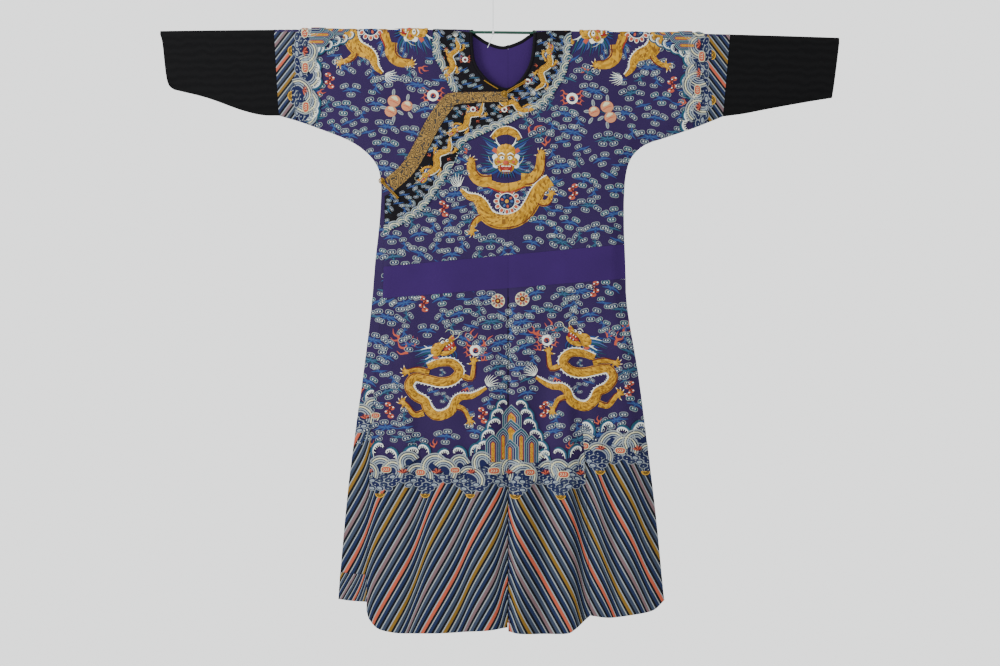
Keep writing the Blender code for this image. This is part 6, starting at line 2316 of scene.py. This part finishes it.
class ROBE_OT_facing_work(bpy.types.Operator):
    """Sew small dragons, pearls, clouds and a foam edge on the dark facing"""

    bl_idname = "robe.facing_work"
    bl_label = "Facing embroidery"

    def execute(self, context):
        work = Stitching()
        runner = running_dragon()
        for x, z, size, turn, mirror in FACING_DRAGONS:
            work.stamp(runner, x, down_at(x, z), size, turn, mirror, up=-1.0, height=0.7)
        for x, z in FACING_PEARLS:
            work.stamp(pearl(), x, down_at(x, z), 0.5, up=-1.0)
        rng = np.random.default_rng(FIRST_SEED)
        zones = [
            (x, down_at(x, z), *(size * reach for reach in FACING_DRAGON_REACH)) for x, z, size, *_ in FACING_DRAGONS
        ]
        zones += [(x, down_at(x, z), *FACING_PEARL_REACH) for x, z in FACING_PEARLS]
        facings = {node: facts for node, facts in ROBE.facings.items() if node != "overlap_border"}
        for outline, _ in facings.values():
            for x, s in scattered(rng, outline, zones, [], **FACING_CLOUDS):
                kind = ROBE.clouds.small[rng.integers(8)]
                work.stamp(kind, x, s, FACING_CLOUD_SIZE, rng.uniform(-0.3, 0.3), up=-1.0 if s > 0 else 1.0)
        edge = Stitching()
        for rows in (FACING_LEFT_EDGE, FACING_RIGHT_EDGE, FACING_LOW_EDGE, FACING_BACK_EDGE):
            back = rows is FACING_BACK_EDGE
            foam_edge(edge, laid(smooth_curve(rows, 8), back), toward=laid([(0.02, -0.2)], back)[0])
        for node, (outline, depth) in facings.items():
            sew(f"{node}_embroidery", work, depth, outline, 0.001, **LAID_ON)
            sew(f"{node}_foam_edge", edge, depth, inset(without_repeats(outline), -0.0015), **LAID_ON)
        return {"FINISHED"}


class ROBE_OT_stage(bpy.types.Operator):
    """Make the plain pale floor, the soft lights and the pale surroundings"""

    bl_idname = "robe.stage"
    bl_label = "Stage"

    def execute(self, context):
        half_width, front, back = 1.5, -0.9, 0.6
        points = np.array([(x, y, z) for z in (FLOOR_Z - FLOOR_THICKNESS, FLOOR_Z) for x, y in
                           ((-half_width, front), (half_width, front), (half_width, back), (-half_width, back))])
        faces = np.array([(4, 5, 6), (4, 6, 7), (0, 2, 1), (0, 3, 2), (0, 1, 5), (0, 5, 4), (1, 2, 6), (1, 6, 5),
                          (2, 3, 7), (2, 7, 6), (3, 0, 4), (3, 4, 7)])
        mesh = bpy.data.meshes.new("floor")
        mesh.from_pydata(points.tolist(), [], faces.tolist())
        mesh.materials.append(floor_finish())
        floor = bpy.data.objects.new("floor", mesh)
        context.scene.collection.objects.link(floor)
        for name, place, size, power in LIGHTS:
            data = bpy.data.lights.new(name, "AREA")
            data.shape, data.size, data.energy = "SQUARE", size, power
            light = bpy.data.objects.new(name, data)
            light.location = place
            aim = np.array(AIM) - place
            flat = math.hypot(aim[0], aim[1])
            light.rotation_euler = (math.atan2(flat, -aim[2]), 0.0, math.atan2(-aim[0], aim[1]))
            context.scene.collection.objects.link(light)
        world = bpy.data.worlds.new("pale_room")
        world.use_nodes = True
        background = world.node_tree.nodes["Background"]
        background.inputs["Color"].default_value = (*linear(ROOM_COLOUR), 1.0)
        background.inputs["Strength"].default_value = ROOM_STRENGTH
        context.scene.world = world
        return {"FINISHED"}


CLASSES = (
    RobeColours, RobeSizes, ROBE_OT_hang, ROBE_OT_cloth, ROBE_OT_trims, ROBE_OT_fastenings, ROBE_OT_embroider,
    ROBE_OT_bands, ROBE_OT_facing_work, ROBE_OT_stage,
)


class ROBE_PT_panel(bpy.types.Panel):
    bl_label = "Dragon robe"
    bl_idname = "ROBE_PT_panel"
    bl_space_type = "VIEW_3D"
    bl_region_type = "UI"
    bl_category = "Robe"

    def draw(self, context):
        for operator in CLASSES[2:]:
            self.layout.operator(operator.bl_idname)
        for name in ("ground", "lining", "facing"):
            self.layout.prop(context.scene.robe_colours, name)
        self.layout.prop(context.scene.robe_sizes, "camera_distance")


def register():
    for cls in (*CLASSES, ROBE_PT_panel):
        bpy.utils.register_class(cls)
    bpy.types.Scene.robe_colours = bpy.props.PointerProperty(type=RobeColours)
    bpy.types.Scene.robe_sizes = bpy.props.PointerProperty(type=RobeSizes)


def unregister():
    del bpy.types.Scene.robe_colours
    del bpy.types.Scene.robe_sizes
    for cls in reversed((*CLASSES, ROBE_PT_panel)):
        bpy.utils.unregister_class(cls)


def main():
    register()
    bpy.ops.robe.hang()
    bpy.ops.robe.cloth()
    bpy.ops.robe.trims()
    bpy.ops.robe.fastenings()
    bpy.ops.robe.embroider()
    bpy.ops.robe.bands()
    bpy.ops.robe.facing_work()
    bpy.ops.robe.stage()


if __name__ == "__main__":
    main()
